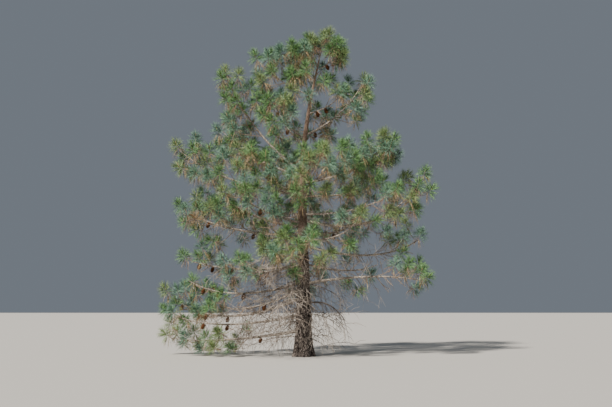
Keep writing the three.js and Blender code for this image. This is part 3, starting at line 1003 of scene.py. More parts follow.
@dataclass(frozen=True)
class TwigRule:
    """How one set of twigs is dealt out along a limb.

    Attributes:
        seed: What is added to the limb's own seed.
        spacing: The distance from one twig to the next, in millimetres.
        apart: The least distance between the middles of two sprays, in millimetres.
        margin: How much room a spray needs, in millimetres. Below 0 it may stand out a little.
        earlier: How much nearer to the trunk they begin, as a share of the limb.
        longer: The longest one's length, as a share of the usual.
    """

    seed: int
    spacing: float
    apart: float
    margin: float
    earlier: float = 0.0
    longer: float = 1.0


@dataclass
class Skeleton:
    """The limbs of the pine, and the twigs that each one's space has room for.

    Attributes:
        trunk: The trunk that they grow from.
        radius_per_length: What a limb's radius at the trunk gains with its length.
        share_of_trunk: That radius at the most, as a share of the trunk's.
        wander: How far a limb swings to a side, as a share of its reach.
        bends: The share of the reach, of the rise and of the sag at each of its two bends.
        bare_stem: The stretch between a bough's end and its first twig, as a share of the limb.
        leader_ease: How much of the leader goes straight up before it leans.
        broad: The solids' twigs.
        fine: The twigs between them that only the dressed pine has.
        earliest: The share of the limb that no fine twig is before.
        leafy_end: The share of it that no twig but the one at its end is past.
        twig_jitter: How far a twig strays along the limb, as a share of the spacing.
        twig_varies: How much its length and its angle vary.
        roll_jitter: How far it strays from its turn round the limb, in degrees.
        roll_per_limb: How much one limb's turns are ahead of the last one's, in degrees.
        twig_lift: How much its spray turns up.
        twig_tested: The share of the twig where one of the points lies that need room.
        end_twig: How far past the limb's end the last spray begins.
        second_chance: The share of the twigs that have a second one halfway.
        space_margin: How much nearer a point is to its own limb than to any other.
        limb_margin: How far it is from the trunk and from bare boughs.
        ground_margin: How far it is over the ground.
    """

    trunk: Trunk
    radius_per_length: float = 0.0085
    share_of_trunk: float = 0.5
    wander: float = 0.07
    bends: tuple[tuple[float, float, float], ...] = ((0.34, 0.33, 0.9), (0.72, 0.7, 1.3))
    bare_stem: float = 0.04
    leader_length: float = 200.0
    leader_ease: float = 0.3
    leader_leafy: float = 0.12
    leader_seed: int = 51
    leader_twigs: int = 4
    broad: TwigRule = TwigRule(seed=100, spacing=200.0, apart=364.0, margin=66.0)
    fine: TwigRule = TwigRule(
        seed=4000, spacing=45.0, apart=330.0, margin=-80.0, earlier=0.15, longer=1.25
    )
    earliest: float = 0.15
    fewest_twigs: int = 3
    leafy_end: float = 0.97
    twig_jitter: float = 0.5
    twig_length: tuple[float, float] = (250.0, 430.0)
    twig_varies: float = 0.4
    twig_angle: float = 52.0
    roll_jitter: float = 60.0
    roll_per_limb: float = 40.0
    twig_lift: float = 0.42
    twig_tested: float = 0.6
    end_twig: float = 60.0
    end_twig_root: float = 0.96
    second_chance: float = 0.35
    second_length: float = 0.8
    space_margin: float = 25.0
    limb_margin: float = 30.0
    ground_margin: float = 70.0

    def __post_init__(self) -> None:
        """Lays every limb and the line of its space."""
        bare = [(*row[:-1], row[-1], None) for row in BOUGHS]
        leafy = [(*row[:-1], 0.0, row[-1]) for row in STEMS + DEAD_LIMBS]
        laid = [self.limb(*row, seed=k + 1) for k, row in enumerate(bare + leafy)]
        leader = self.leader()
        self.masses = [*laid[: -len(DEAD_LIMBS)], leader]
        self.dead = laid[-len(DEAD_LIMBS) :]
        self.limbs = [*laid, leader]
        self.starts = np.array([limb.line[:-1] for limb in self.limbs])
        self.steps = np.array([np.diff(limb.line, axis=0) for limb in self.limbs])
        self.places = {limb.name: k for k, limb in enumerate(self.limbs)}
        self.boughs = np.array([limb.bough for limb in self.limbs])

    def limb(
        self,
        name: str,
        height: float,
        bearing: float,
        reach: float,
        rise: float,
        sag: float,
        bough: float,
        leafy: float | None,
        seed: int,
    ) -> Limb:
        """Lays one limb.

        Args:
            name: Its name in the solids.
            height: Where it leaves the trunk.
            bearing: Where it points, in degrees.
            reach: How far its tip is from the trunk.
            rise: How far its tip is over its root.
            sag: How far it hangs under the straight line.
            bough: The share of it that is a bare bough of its own.
            leafy: The share of it where its twigs begin, if it isn't a bough.
            seed: The number that its chances come from.

        Returns:
            The limb.
        """
        chance = Chance(seed)
        root = self.trunk.at(height)
        out = level(math.radians(bearing))
        corners = [root]
        for share, rising, sagging in self.bends:
            swing = (chance.draw() - 0.5) * 2 * self.wander
            lift = rise * rising - sag * sagging
            corners.append(root + out * reach * share + aside(out) * reach * swing + UP * lift)
        corners.append(root + out * reach + UP * rise)
        path = Path(np.array(corners))
        thick = Limb.end_radius + self.radius_per_length * path.length()
        root_radius = min(thick, self.share_of_trunk * self.trunk.radius(height))
        starts = bough + self.bare_stem if leafy is None else leafy
        return Limb(name, bough, starts, seed, path, root_radius)

    def leader(self) -> Limb:
        """Lays the leader, which goes on from the trunk's tip.

        Returns:
            The leader.
        """
        start = self.trunk.at(self.trunk.top)
        lean = unit(start - self.trunk.at(self.trunk.top - self.leader_length))
        end = start + lean * self.leader_length
        ease = self.leader_length * self.leader_ease
        path = Path(np.array((start, start + UP * ease, end - lean * ease, end)))
        return Limb(
            "leader", 0.0, self.leader_leafy, self.leader_seed, path, self.trunk.top_radius,
            twigs=self.leader_twigs,
        )

    def distances(self, point: np.ndarray) -> tuple[np.ndarray, np.ndarray]:
        """Measures how far a point is from each limb's line.

        Args:
            point: The point.

        Returns:
            The distance from each limb, and the share of the limb that is nearest.
        """
        away = point - self.starts
        part = (away * self.steps).sum(-1) / (self.steps**2).sum(-1)
        part = np.clip(part, 0, 1)
        gaps = np.linalg.norm(away - self.steps * part[..., None], axis=-1)
        nearest = gaps.argmin(axis=1)
        rows = np.arange(len(gaps))
        share = (nearest + part[rows, nearest]) / self.starts.shape[1]
        return gaps[rows, nearest], share

    def clear_of_trunk(self, point: np.ndarray, margin: float) -> bool:
        """Tests whether a point is over the ground and clear of the trunk.

        Args:
            point: The point.
            margin: The room that it needs beyond the usual margins.

        Returns:
            True if it is.
        """
        if point[2] < self.ground_margin + margin:
            return False
        if point[2] >= self.trunk.top:
            return True
        gap = math.hypot(*(point - self.trunk.at(point[2]))[:2])
        return gap >= self.trunk.radius(point[2]) + self.limb_margin + margin

    def in_own_space(self, point: np.ndarray, own: Limb, margin: float) -> bool:
        """Tests whether a point is nearer to its own limb than to others, and clear of the wood.

        Args:
            point: The point.
            own: Its own limb.
            margin: The room that it needs beyond the usual margins.

        Returns:
            True if it is.
        """
        if not self.clear_of_trunk(point, margin):
            return False
        gaps, shares = self.distances(point)
        radii = np.array([limb.radius(share) for limb, share in zip(self.limbs, shares)])
        if np.any((shares < self.boughs) & (gaps < radii + self.limb_margin + margin)):
            return False
        here = self.places[own.name]
        others = np.delete(gaps, here)
        return bool(np.all(others > gaps[here] + self.space_margin + margin))

    def twig_from(
        self, root: np.ndarray, tangent: np.ndarray, roll: float, length: float, chance: Chance
    ) -> Twig:
        """Grows a twig that leaves its stem at an angle, with a spray that turns up from its neck.

        Args:
            root: Where it leaves the stem.
            tangent: The stem's direction there.
            roll: Which way round the stem it points, in radians.
            length: Its length.
            chance: Where its chances come from.

        Returns:
            The twig.
        """
        side = turned(first_axis(tangent), tangent, roll)
        angle = math.radians(self.twig_angle) * chance.about(self.twig_varies)
        out = tangent * math.cos(angle) + side * math.sin(angle)
        ahead = unit(out + UP * self.twig_lift * chance.about(1))
        return Twig(root, root + out * length, ahead)

    def all_twigs(self, limb: Limb, rule: TwigRule) -> list[Twig]:
        """Grows every twig that a rule gives a limb, whether there is room for it or not.

        Args:
            limb: The limb.
            rule: The rule.

        Returns:
            The twigs, the one at the limb's end first.
        """
        chance = Chance(limb.seed + rule.seed)
        start = max(self.earliest, limb.leafy - rule.earlier) if rule.earlier else limb.leafy
        wanted = math.floor((1 - start) * limb.length / rule.spacing + 0.5)
        count = limb.twigs or max(self.fewest_twigs, wanted)
        heading = limb.path.heading(1.0)
        neck = limb.path.at(1.0) + heading * self.end_twig
        twigs = [Twig(limb.path.at(self.end_twig_root), neck, heading)]
        short, long = self.twig_length
        for k in range(count):
            along = (k + self.twig_jitter * chance.draw()) / count
            share = mix(start, self.leafy_end, along)
            length = mix(long * rule.longer, short, along) * chance.about(self.twig_varies)
            degrees = LEAF_TURN * k + self.roll_jitter * chance.draw()
            roll = math.radians(degrees + self.roll_per_limb * limb.seed)
            tangent = limb.path.heading(share)
            twig = self.twig_from(limb.path.at(share), tangent, roll, length, chance)
            twigs.append(twig)
            luck, turn = chance.draw(), chance.draw()
            if luck < self.second_chance:
                half = (twig.root + twig.neck) / 2
                second = length * self.second_length
                twigs.append(self.twig_from(half, twig.ahead, roll + turn * math.pi, second, chance))
        return twigs

    def twigs(self, limb: Limb) -> list[Twig]:
        """Grows the twigs whose spray has room in the limb's own space.

        Args:
            limb: The limb.

        Returns:
            The solids' twigs, and then the finer ones between them.
        """
        kept: list[Twig] = []
        for rule in (self.broad, self.fine):
            for twig in self.all_twigs(limb, rule):
                if any(np.linalg.norm(t.shoulder - twig.shoulder) <= rule.apart for t in kept):
                    continue
                tested = mix(twig.root, twig.neck, self.twig_tested)
                points = (tested, twig.neck, twig.shoulder, twig.front)
                if all(self.in_own_space(point, limb, rule.margin) for point in points):
                    kept.append(twig)
        return kept


@dataclass
class Arc:
    """A curve from its base over its bend to its tip, in millimetres."""

    base: np.ndarray
    bend: np.ndarray
    tip: np.ndarray

    def at(self, share: Any) -> np.ndarray:
        """The point, or the row of points, at a share of the arc."""
        t = np.asarray(share, float)[..., None]
        return (1 - t) ** 2 * self.base + 2 * (1 - t) * t * self.bend + t**2 * self.tip

    def heading(self, share: Any) -> np.ndarray:
        """The arc's direction at a share of it, or at each of a row of shares."""
        t = np.asarray(share, float)[..., None]
        return unit((1 - t) * (self.bend - self.base) + t * (self.tip - self.bend))


@dataclass
class Shoot(Arc):
    """One shoot.

    Attributes:
        spray: The number of the spray that it goes on from.
        dying: True if all its needles are dry.
    """

    spray: int
    dying: bool


@dataclass
class Shoots:
    """The shoots that the sprays are carried on to, with their wood and their buds.

    Attributes:
        shares: The share of the sprays that has shoots, with the limbs that have that share.
        usual_share: The share on all other limbs.
        doubled: The limbs whose sprays have a second shoot that turns aside.
        dying_share: The share of the sprays whose needles are all dry.
        lead_length: The length of a shoot straight ahead. Lengths are in millimetres.
        length: A second shoot's length, shortest and longest.
        angle: How far it points off the spray, in degrees.
        side_from: The share of the twig that it leaves at the earliest.
        side_span: How much of the way on to the spray's front it may leave at.
        lift: How much a shoot's outer half turns up.
        trunk_margin: The room that its tip needs from the trunk.
        stem_step: The distance from one ring of a stem to the next.
        stem_points: How many rings a stem has at the least.
        twig_radius: A twig's radius at its root and at its neck.
        twig_sag: How far its middle hangs.
        radius: A shoot's radius at its base and at its tip.
        bud: A bud's length, shortest and longest.
        bud_radius: Its radius at its root and at its tip.
        bud_lift: How much it turns up.
    """

    skeleton: Skeleton
    shares: tuple[tuple[float, tuple[str, ...]], ...] = (
        (1.0, ("leader", "left_top", "top_left", "top_far_left", "top_back", "top_right", "top_front")),
        (1.0, ("right_top", "right_upper", "left_upper", "left_middle", "front", "left_inner")),
        (0.9, ("left_ground", "left_reach", "left_front", "front_right")),
        (0.8, ("right_behind",)),
        (0.75, ("back",)),
        (0.7, ("right_lowest", "right_front")),
        (0.65, ("left_front_lower", "left_front_low")),
        (0.6, ("front_low", "left_lower", "back_left_high")),
        (0.55, ("left_low",)),
        (0.5, ("front_right_low", "left_foot", "back_low", "back_left")),
        (0.4, ("left_front_foot",)),
        (0.35, ("right_lower",)),
        (0.3, ("front_left_low",)),
        (0.25, ("right_behind_low",)),
    )
    usual_share: float = 0.85
    doubled: tuple[str, ...] = ("leader", "top_right", "top_left", "right_upper")
    dying_share: float = 0.015
    seed: int = 9000
    seed_per_limb: int = 131
    lead_length: float = 310.0
    length: tuple[float, float] = (190.0, 300.0)
    angle: float = 58.0
    angle_varies: float = 0.5
    side_from: float = 0.45
    side_span: float = 0.6
    lift: float = 1.15
    trunk_margin: float = 60.0
    stem_step: float = 60.0
    stem_points: int = 6
    stem_sides: int = 9
    stem_relief: float = 1.5
    twig_radius: tuple[float, float] = (9.0, 6.5)
    twig_sag: float = 12.0
    twig_sides: int = 4
    radius: tuple[float, float] = (6.5, 5.0)
    points: int = 4
    bud: tuple[float, float] = (50.0, 150.0)
    bud_radius: tuple[float, float] = (8.0, 4.5)
    bud_lift: float = 0.5
    bud_seed: int = 20000
    bud_sides: int = 3

    def __post_init__(self) -> None:
        """Grows every shoot."""
        self.made: list[Shoot] = []
        self.twigs: list[Twig] = []
        share_of = {name: share for share, names in self.shares for name in names}
        for limb in self.skeleton.masses:
            share = share_of.get(limb.name, self.usual_share)
            for k, twig in enumerate(self.skeleton.twigs(limb)):
                chance = Chance(self.seed + self.seed_per_limb * limb.seed + k)
                if chance.draw() <= share:
                    self.grow(twig, limb.name in self.doubled, chance)
                self.twigs.append(twig)

    def grow(self, twig: Twig, doubled: bool, chance: Chance) -> None:
        """Carries the next spray on to a shoot straight ahead, and where it is doubled another.

        Args:
            twig: The spray's twig.
            doubled: True if there is a second shoot.
            chance: Where its chances come from.
        """
        dying = chance.draw() > 1 - self.dying_share
        self.shoot(twig.neck, twig.ahead, self.lead_length, dying)
        if doubled:
            low = mix(twig.root, twig.neck, self.side_from)
            start = mix(low, twig.front, self.side_span * chance.draw())
            side = turned(first_axis(twig.ahead), twig.ahead, TURN * chance.draw())
            angle = math.radians(self.angle) * chance.about(self.angle_varies)
            out = unit(twig.ahead * math.cos(angle) + side * math.sin(angle))
            self.shoot(start, out, mix(*self.length, chance.draw()), dying)

    def shoot(self, base: np.ndarray, out: np.ndarray, length: float, dying: bool) -> None:
        """Adds a shoot that leaves its base outwards and turns up, if it is clear of the trunk.

        Args:
            base: Where it begins.
            out: Its first direction.
            length: Its length.
            dying: True if all its needles are dry.
        """
        bend = base + out * length * 0.5
        tip = bend + unit(out + UP * self.lift) * length * 0.5
        if self.skeleton.clear_of_trunk(tip, self.trunk_margin):
            self.made.append(Shoot(base, bend, tip, len(self.twigs), dying))

    def build(self, shop: Workshop, nodes: Sequence[str]) -> None:
        """Makes the wood of the stems, twigs and shoots, and the buds over the needles.

        Args:
            shop: The workshop.
            nodes: The solids that the pieces take the place of.
        """
        stems, twigs, buds = Lines(), Lines(), Lines()
        for limb in self.skeleton.masses:
            count = round((1 - limb.bough) * limb.length / self.stem_step)
            shares = np.linspace(limb.bough, 1, max(self.stem_points, count))
            stems.add(limb.path.at(shares), limb.radius(shares))
        for twig in self.twigs:
            middle = mix(twig.root, twig.neck, 0.5) - UP * self.twig_sag
            twigs.add((twig.root, middle, twig.neck), self.twig_radius)
        for number, shoot in enumerate(self.made):
            twigs.add(shoot.at(np.linspace(0, 1, self.points)), self.radius)
            heading = unit(shoot.heading(1.0) + UP * self.bud_lift)
            length = mix(*self.bud, Chance(self.bud_seed + number).draw())
            buds.add((shoot.tip, shoot.tip + heading * length), self.bud_radius)
        bark = (self.stem_relief, LIMB_BARK.plate)
        for made in (
            shop.round_wood("stems", stems, LIMB_BARK, self.stem_sides, *bark),
            shop.round_wood("twigs", twigs, TWIG_BARK, self.twig_sides),
            shop.round_wood("buds", buds, BUD, self.bud_sides),
        ):
            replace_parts(made, *nodes)


@dataclass(frozen=True)
class Zone:
    """Where on a shoot one kind of needles grows, and how they stand.

    Attributes:
        reach: The shares of the shoot that they grow between.
        strands: How many strands of needles there are.
        each: How many needles a strand has.
        lean: Their angle off the shoot in degrees, at the zone's first end and at its last.
        length: Their length in millimetres, shortest and longest.
        sag: How far a level needle's tip falls, as a share of its length.
    """

    reach: tuple[float, float]
    strands: int
    each: int
    lean: tuple[float, float]
    length: tuple[float, float]
    sag: tuple[float, float]


@dataclass
class Needles:
    """The needles of every shoot: green round its end, and dry ones that hang below them.

    Attributes:
        width: A needle's width, in millimetres. A real one is 1 to 2 mm wide, and fewer wider
            ones cover as much.
        fresh: Where the green needles grow.
        dry: Where the dry needles grow.
        tan: The share of the sprays whose dry needles are tan and not russet.
        green: The luck below which a spray is green.
        grey_green: The luck below which it is grey-green. Above it, it is olive.
        aim_spread: How far a needle strays from its strand, in degrees.
        part_spread: How far its root strays, as a share of the zone.
        lean_spread: How far its strand's angle strays, in degrees.
        least_fall: An upright needle's fall, as a share of a level one's.
        most: How many needles one piece has at the most.
        floor: The height that no needle hangs below, in millimetres.
        tilt: How far the axis that they turn about is off upright, so that it never lies along
            an upright shoot.
    """

    shoots: Shoots
    width: float = 3.7
    fresh: Zone = Zone(
        reach=(0.66, 1.0), strands=108, each=5, lean=(110, 10), length=(235, 320), sag=(0.05, 0.25)
    )
    dry: Zone = Zone(
        reach=(0.35, 0.66), strands=19, each=5, lean=(125, 95), length=(200, 285), sag=(0.5, 1.0)
    )
    tan: float = 0.6
    green: float = 0.45
    grey_green: float = 0.75
    tint_seed: int = 5000
    seed: int = 1562
    aim_spread: float = 1.7
    part_spread: float = 0.03
    lean_spread: float = 8.0
    least_fall: float = 0.3
    most: int = 95000
    floor: float = 15.0
    tilt: float = 0.01

    def tints(self, shoot: Shoot) -> tuple[Tint, Tint]:
        """Deals out the colours of one shoot's needles, which its spray's shoots share.

        Args:
            shoot: The shoot.

        Returns:
            The colour of its fresh needles, and that of its dry ones.
        """
        chance = Chance(self.tint_seed + shoot.spray)
        dry = Tint.TAN if chance.draw() < self.tan else Tint.RUSSET
        luck = chance.draw()
        if shoot.dying:
            return dry, dry
        if luck < self.green:
            return Tint.GREEN, dry
        return (Tint.GREY_GREEN, dry) if luck < self.grey_green else (Tint.OLIVE, dry)

    def grow(self, shoot: Shoot, zone: Zone, rng: np.random.Generator) -> dict[str, np.ndarray]:
        """Grows the needles of one zone of one shoot.

        Args:
            shoot: The shoot.
            zone: The zone.
            rng: Where the chances come from.

        Returns:
            A point for each needle, in metres, with what says how it stands.
        """
        each, total = zone.each, zone.strands * zone.each
        part = np.repeat(rng.uniform(0, 1, zone.strands), each)
        part = np.clip(part + rng.normal(0, self.part_spread, total), 0, 1)
        share = mix(*zone.reach, part)
        turn = np.repeat(rng.uniform(0, TURN, zone.strands), each)
        tangent = shoot.heading(share)
        across = unit(np.cross(tangent, unit(UP + ACROSS * self.tilt)))
        over = np.cross(across, tangent)
        lean = np.repeat(rng.normal(0, self.lean_spread, zone.strands), each) + mix(*zone.lean, part)
        angle = np.radians(lean)[:, None]
        round_it = across * np.cos(turn)[:, None] + over * np.sin(turn)[:, None]
        aim = tangent * np.cos(angle) + round_it * np.sin(angle)
        aim = unit(aim + rng.normal(0, math.radians(self.aim_spread), (total, 3)))
        reach = rng.uniform(*zone.length, total)
        flat = np.hypot(aim[:, 0], aim[:, 1])
        share_of_fall = self.least_fall + (1 - self.least_fall) * flat
        fall = reach * rng.uniform(*zone.sag, total) * share_of_fall
        base = shoot.at(share)
        kept = base[:, 2] + aim[:, 2] * reach - fall > self.floor
        wide = np.full(total, self.width)
        size = np.column_stack((wide, wide, reach))
        facing = np.repeat(unit(rng.normal(0, 1, (zone.strands, 3))), each, axis=0)
        grown = {
            "place": base * MM, "aim": aim, "facing": facing, "size": size * MM, "fall": fall * MM
        }
        return {key: values[kept] for key, values in grown.items()}

    def build(self, shop: Workshop, nodes: Sequence[str]) -> None:
        """Makes the needles, joined by colour into pieces.

        Args:
            shop: The workshop.
            nodes: The solids that the pieces take the place of.
        """
        rng = np.random.default_rng(self.seed)
        blade = self.blade()
        heaps: dict[Tint, list[dict[str, np.ndarray]]] = {tint: [] for tint in Tint}
        for shoot in self.shoots.made:
            for tint, zone in zip(self.tints(shoot), (self.fresh, self.dry)):
                heaps[tint].append(self.grow(shoot, zone, rng))
        for tint, heap in heaps.items():
            points = joined(heap)
            pieces = math.ceil(len(points["place"]) / self.most)
            for k in range(pieces):
                part = {key: values[k::pieces] for key, values in points.items()}
                made = shop.scattered(f"{tint.value.name}_{k + 1}", part, blade, tint.value)
                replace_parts(made, *nodes)
        bpy.data.objects.remove(blade)

    def blade(self) -> Object:
        """One needle of unit length: a slim leaf, folded across its middle where it bends."""
        points = ((0, 0, 0), (-0.5, 0, 0.5), (0.5, 0, 0.5), (0, 0, 1))
        return small_shape("needle_blade", points, ((0, 2, 1), (1, 2, 3)))


@dataclass
class Boughs:
    """The bare boughs, with scaly bark in relief.

    Attributes:
        inset: How deep in the trunk a bough begins, as a share of the trunk's radius.
    """

    skeleton: Skeleton
    sides: int = 16
    step: float = 22.0
    relief: float = 4.0
    inset: float = 0.25

    def build(self, shop: Workshop) -> None:
        """Makes the boughs as one piece.

        Args:
            shop: The workshop.
        """
        lines = Lines()
        boughs = [limb for limb in self.skeleton.masses if limb.bough]
        for limb in boughs:
            radius = self.skeleton.trunk.radius(limb.path.corners[0][2])
            start = self.inset * radius / limb.length
            count = int((limb.bough - start) * limb.length / self.step)
            shares = np.linspace(start, limb.bough, count)
            lines.add(limb.path.at(shares), limb.radius(shares))
        made = shop.round_wood("boughs", lines, LIMB_BARK, self.sides, self.relief, LIMB_BARK.plate)
        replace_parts(made, *[f"bough_{limb.name}" for limb in boughs])


@dataclass
class Cones:
    """The cones that hang under the stems, each with its scales in a spiral.

    Attributes:
        places: The limb of each cone, and the share of the limb that it hangs from.
        length: A cone's length. This and the other lengths are in millimetres.
        radius: Its radius over the scales.
        outward: How far it hangs out along the limb, against straight down.
        core: The core's radius as a share of the cone's.
        core_arch: The part of half a turn that the core's outline begins at, and how much of
            it the outline goes through.
        core_blunt: The power of its outline: less is blunter.
        core_more: How much thicker the core is than the line that the scales stand on.
        scales: How many scales it has.
        scale_size: A scale's width, its height and its greatest length.
        scale_arch: The same for the scales' length as core_arch for the core.
        scale_out: How far the scales stand out, from the first to the last.
        scale_ahead: How far they point to the cone's tip.
    """

    skeleton: Skeleton
    places: tuple[tuple[str, float], ...] = (
        ("right_top", 0.84), ("left_low", 0.8), ("left_lower", 0.72), ("left_reach", 0.92),
        ("left_foot", 0.6), ("left_inner", 0.86), ("top_right", 0.5), ("top_left", 0.45),
        ("left_behind", 0.3), ("left_front_lower", 0.5), ("left_front_foot", 0.5),
        ("left_low", 0.62), ("left_lower", 0.5), ("left_lower", 0.86), ("right_inner", 0.3),
        ("left_middle", 0.7), ("left_ground", 0.3), ("right_upper", 0.45), ("top_front", 0.4),
        ("left_reach", 0.72), ("left_long", 0.8), ("left_low", 0.93), ("left_foot", 0.8),
        ("left_reach", 0.55), ("left_front_low", 0.6), ("left_inner", 0.5), ("right_inner", 0.6),
        ("back", 0.6), ("back_left", 0.7), ("back_right", 0.5), ("back_low", 0.75),
        ("right_behind", 0.6), ("back_top", 0.5),
    )
    length: float = 150.0
    radius: float = 56.0
    outward: float = 0.35
    core: float = 0.62
    core_arch: tuple[float, float] = (0.12, 0.8)
    core_blunt: float = 0.8
    core_more: float = 3.0
    core_points: int = 9
    core_sides: int = 10
    scales: int = 80
    scale_size: tuple[float, float, float] = (28.0, 22.0, 32.0)
    scale_arch: tuple[float, float] = (0.18, 0.7)
    scale_out: tuple[float, float] = (1.0, 0.45)
    scale_ahead: float = 0.75

    def girth(self, share: Any) -> Any:
        """The radius of the line that the scales stand on, at a share of a cone's length."""
        low, span = self.core_arch
        return self.radius * self.core * np.sin(np.pi * (low + span * share)) ** self.core_blunt

    def scale_points(self, root: np.ndarray, axis: np.ndarray) -> dict[str, np.ndarray]:
        """Sets a cone's scales in their spiral.

        Args:
            root: Where the cone begins.
            axis: Its direction.

        Returns:
            A point for each scale, in metres, with what says how it stands.
        """
        shares = (np.arange(self.scales) + 0.5) / self.scales
        across = first_axis(axis)
        over = np.cross(axis, across)
        turn = np.radians(LEAF_TURN * np.arange(self.scales))[:, None]
        out = across * np.cos(turn) + over * np.sin(turn)
        place = root + axis * (shares * self.length)[:, None] + out * self.girth(shares)[:, None]
        aim = unit(out * mix(*self.scale_out, shares)[:, None] + axis * self.scale_ahead)
        wide, high, long = self.scale_size
        low, span = self.scale_arch
        lengths = long * np.sin(np.pi * (low + span * shares))
        size = np.column_stack((np.full(self.scales, wide), np.full(self.scales, high), lengths))
        facing = np.tile(-axis, (self.scales, 1))
        level_tips = np.zeros(self.scales)
        return {
            "place": place * MM, "aim": aim, "facing": facing, "size": size * MM, "fall": level_tips
        }

    def build(self, shop: Workshop, nodes: Sequence[str]) -> None:
        """Makes the cores and the scales of every cone.

        Args:
            shop: The workshop.
            nodes: The solids that the pieces take the place of.
        """
        cores, parts = Lines(), []
        by_name = {limb.name: limb for limb in self.skeleton.masses}
        core = np.linspace(0, 1, self.core_points)
        for name, share in self.places:
            limb = by_name[name]
            axis = unit(limb.path.heading(share) * self.outward - UP)
            root = limb.path.at(share) + axis * limb.radius(share)
            points = root + axis * core[:, None] * self.length
            cores.add(points, self.girth(core) + self.core_more)
            parts.append(self.scale_points(root, axis))
        shape = self.scale()
        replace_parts(shop.scattered("cone_scales", joined(parts), shape, CONE), *nodes)
        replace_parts(shop.round_wood("cone_cores", cores, CONE, self.core_sides), *nodes)
        bpy.data.objects.remove(shape)

    def scale(self) -> Object:
        """Makes one woody scale of unit size: narrow at its root, with a raised, hooked end.

        Returns:
            The scale.
        """
        points = (
            (-0.25, 0, 0), (0.25, 0, 0), (-0.5, 0.1, 0.6), (0.5, 0.1, 0.6), (0, 0.45, 1), (0, -0.3, 0.6)
        )
        faces = (
            (0, 3, 1), (0, 2, 3), (2, 4, 3), (1, 5, 0), (3, 5, 1), (4, 5, 3), (2, 5, 4), (0, 5, 2)
        )
        return small_shape("cone_scale", points, faces)


@dataclass(frozen=True)
class BareTwig:
    """A bare twig with the finer ones that stand off it.

    Attributes:
        points: How many points its line has.
        finer_tip: How many times finer its tip is than its root.
        apart: The distance from one offshoot to the next. Lengths are in millimetres.
        first: The share of the twig where the offshoots begin.
        span: The share of it that they stand on.
        last: The share of it that none is past.
        reach: An offshoot's length, as a share of the twig's.
        out: How far it points off the twig, against along it.
        droop: How far its outer half hangs.
        thickness: Its radius at its root and its tip, as shares of the twig's.
        floor: The height that nothing hangs below.
    """

    points: int = 6
    finer_tip: float = 3.0
    apart: float = 190.0
    first: float = 0.35
    span: float = 0.6
    last: float = 0.95
    reach: tuple[float, float] = (0.2, 0.4)
    out: float = 0.9
    droop: float = 0.4
    thickness: tuple[float, float] = (0.6, 0.35)
    floor: float = 30.0

    def grow(self, lines: Lines, arc: Arc, radius: float, seed: int) -> None:
        """Adds a twig and its offshoots to lines.

        Args:
            lines: The lines.
            arc: The twig's curve.
            radius: Its radius at its root.
            seed: The number that its chances come from.
        """
        lines.add(arc.at(np.linspace(0, 1, self.points)), (radius, radius / self.finer_tip))
        chance = Chance(seed)
        length = float(np.linalg.norm(arc.tip - arc.base))
        for k in range(int(length / self.apart)):
            share = self.first + self.span * (k + chance.draw()) * self.apart / length
            share = min(share, self.last)
            heading = arc.heading(share)
            side = turned(first_axis(heading), heading, TURN * chance.draw())
            reach = length * mix(*self.reach, chance.draw())
            out = unit(heading + side * self.out)
            start = arc.at(share)
            middle = start + out * reach * 0.5
            end = middle + unit(out - UP * self.droop) * reach * 0.5
            if end[2] > self.floor:
                lines.add((start, middle, end), [radius * share for share in self.thickness])


@dataclass(frozen=True)
class DeadLimbs:
    """The solids' two dead limbs with their hanging twigs, and finer ones on those.

    Attributes:
        spacing: The distance from one twig to the next, in millimetres.
        reach: The shares of the limb that they stand between.
        length: Their length, shortest and longest, in millimetres.
        ahead: How much they point along the limb.
        side: How much they point to a side, least and most.
        droop: How much they point down.
        bend: The share of a twig that is before its bend.
        hang: How much of its first direction is left while its outer part hangs.
    """

    skeleton: Skeleton
    seed: int = 500
    twig_seed: int = 700
    points: int = 24
    spacing: float = 135.0
    reach: tuple[float, float] = (0.22, 0.98)
    length: tuple[float, float] = (420.0, 900.0)
    ahead: float = 0.5
    side: tuple[float, float] = (0.3, 0.8)
    droop: float = 0.25
    bend: float = 0.4
    hang: float = 0.45
    radius: float = 9.0

    def grow(self, lines: Lines, twig: BareTwig, limb: Limb) -> None:
        """Adds a dead limb and its twigs, by the solids' rule.

        Args:
            lines: The lines that they are added to.
            twig: How a bare twig grows.
            limb: The limb.
        """
        chance = Chance(limb.seed + self.seed)
        shares = np.linspace(0, 1, self.points)
        lines.add(limb.path.at(shares), limb.radius(shares))
        count = math.floor(limb.length / self.spacing + 0.5)
        for k in range(count):
            share = mix(*self.reach, (k + chance.draw()) / count)
            out = limb.path.heading(share)
            side = aside(out) * mix(*self.side, chance.draw())
            side = -side if k % 2 == 0 else side
            length = mix(*self.length, chance.draw())
            first = unit(side + out * self.ahead - UP * self.droop)
            root = limb.path.at(share)
            bend = root + first * length * self.bend
            second = unit(first * self.hang - UP)
            tip = bend + second * length * (1 - self.bend)
            if all(self.skeleton.in_own_space(point, limb, self.radius) for point in (bend, tip)):
                twig.grow(lines, Arc(root, bend, tip), self.radius, self.twig_seed * limb.seed + k)


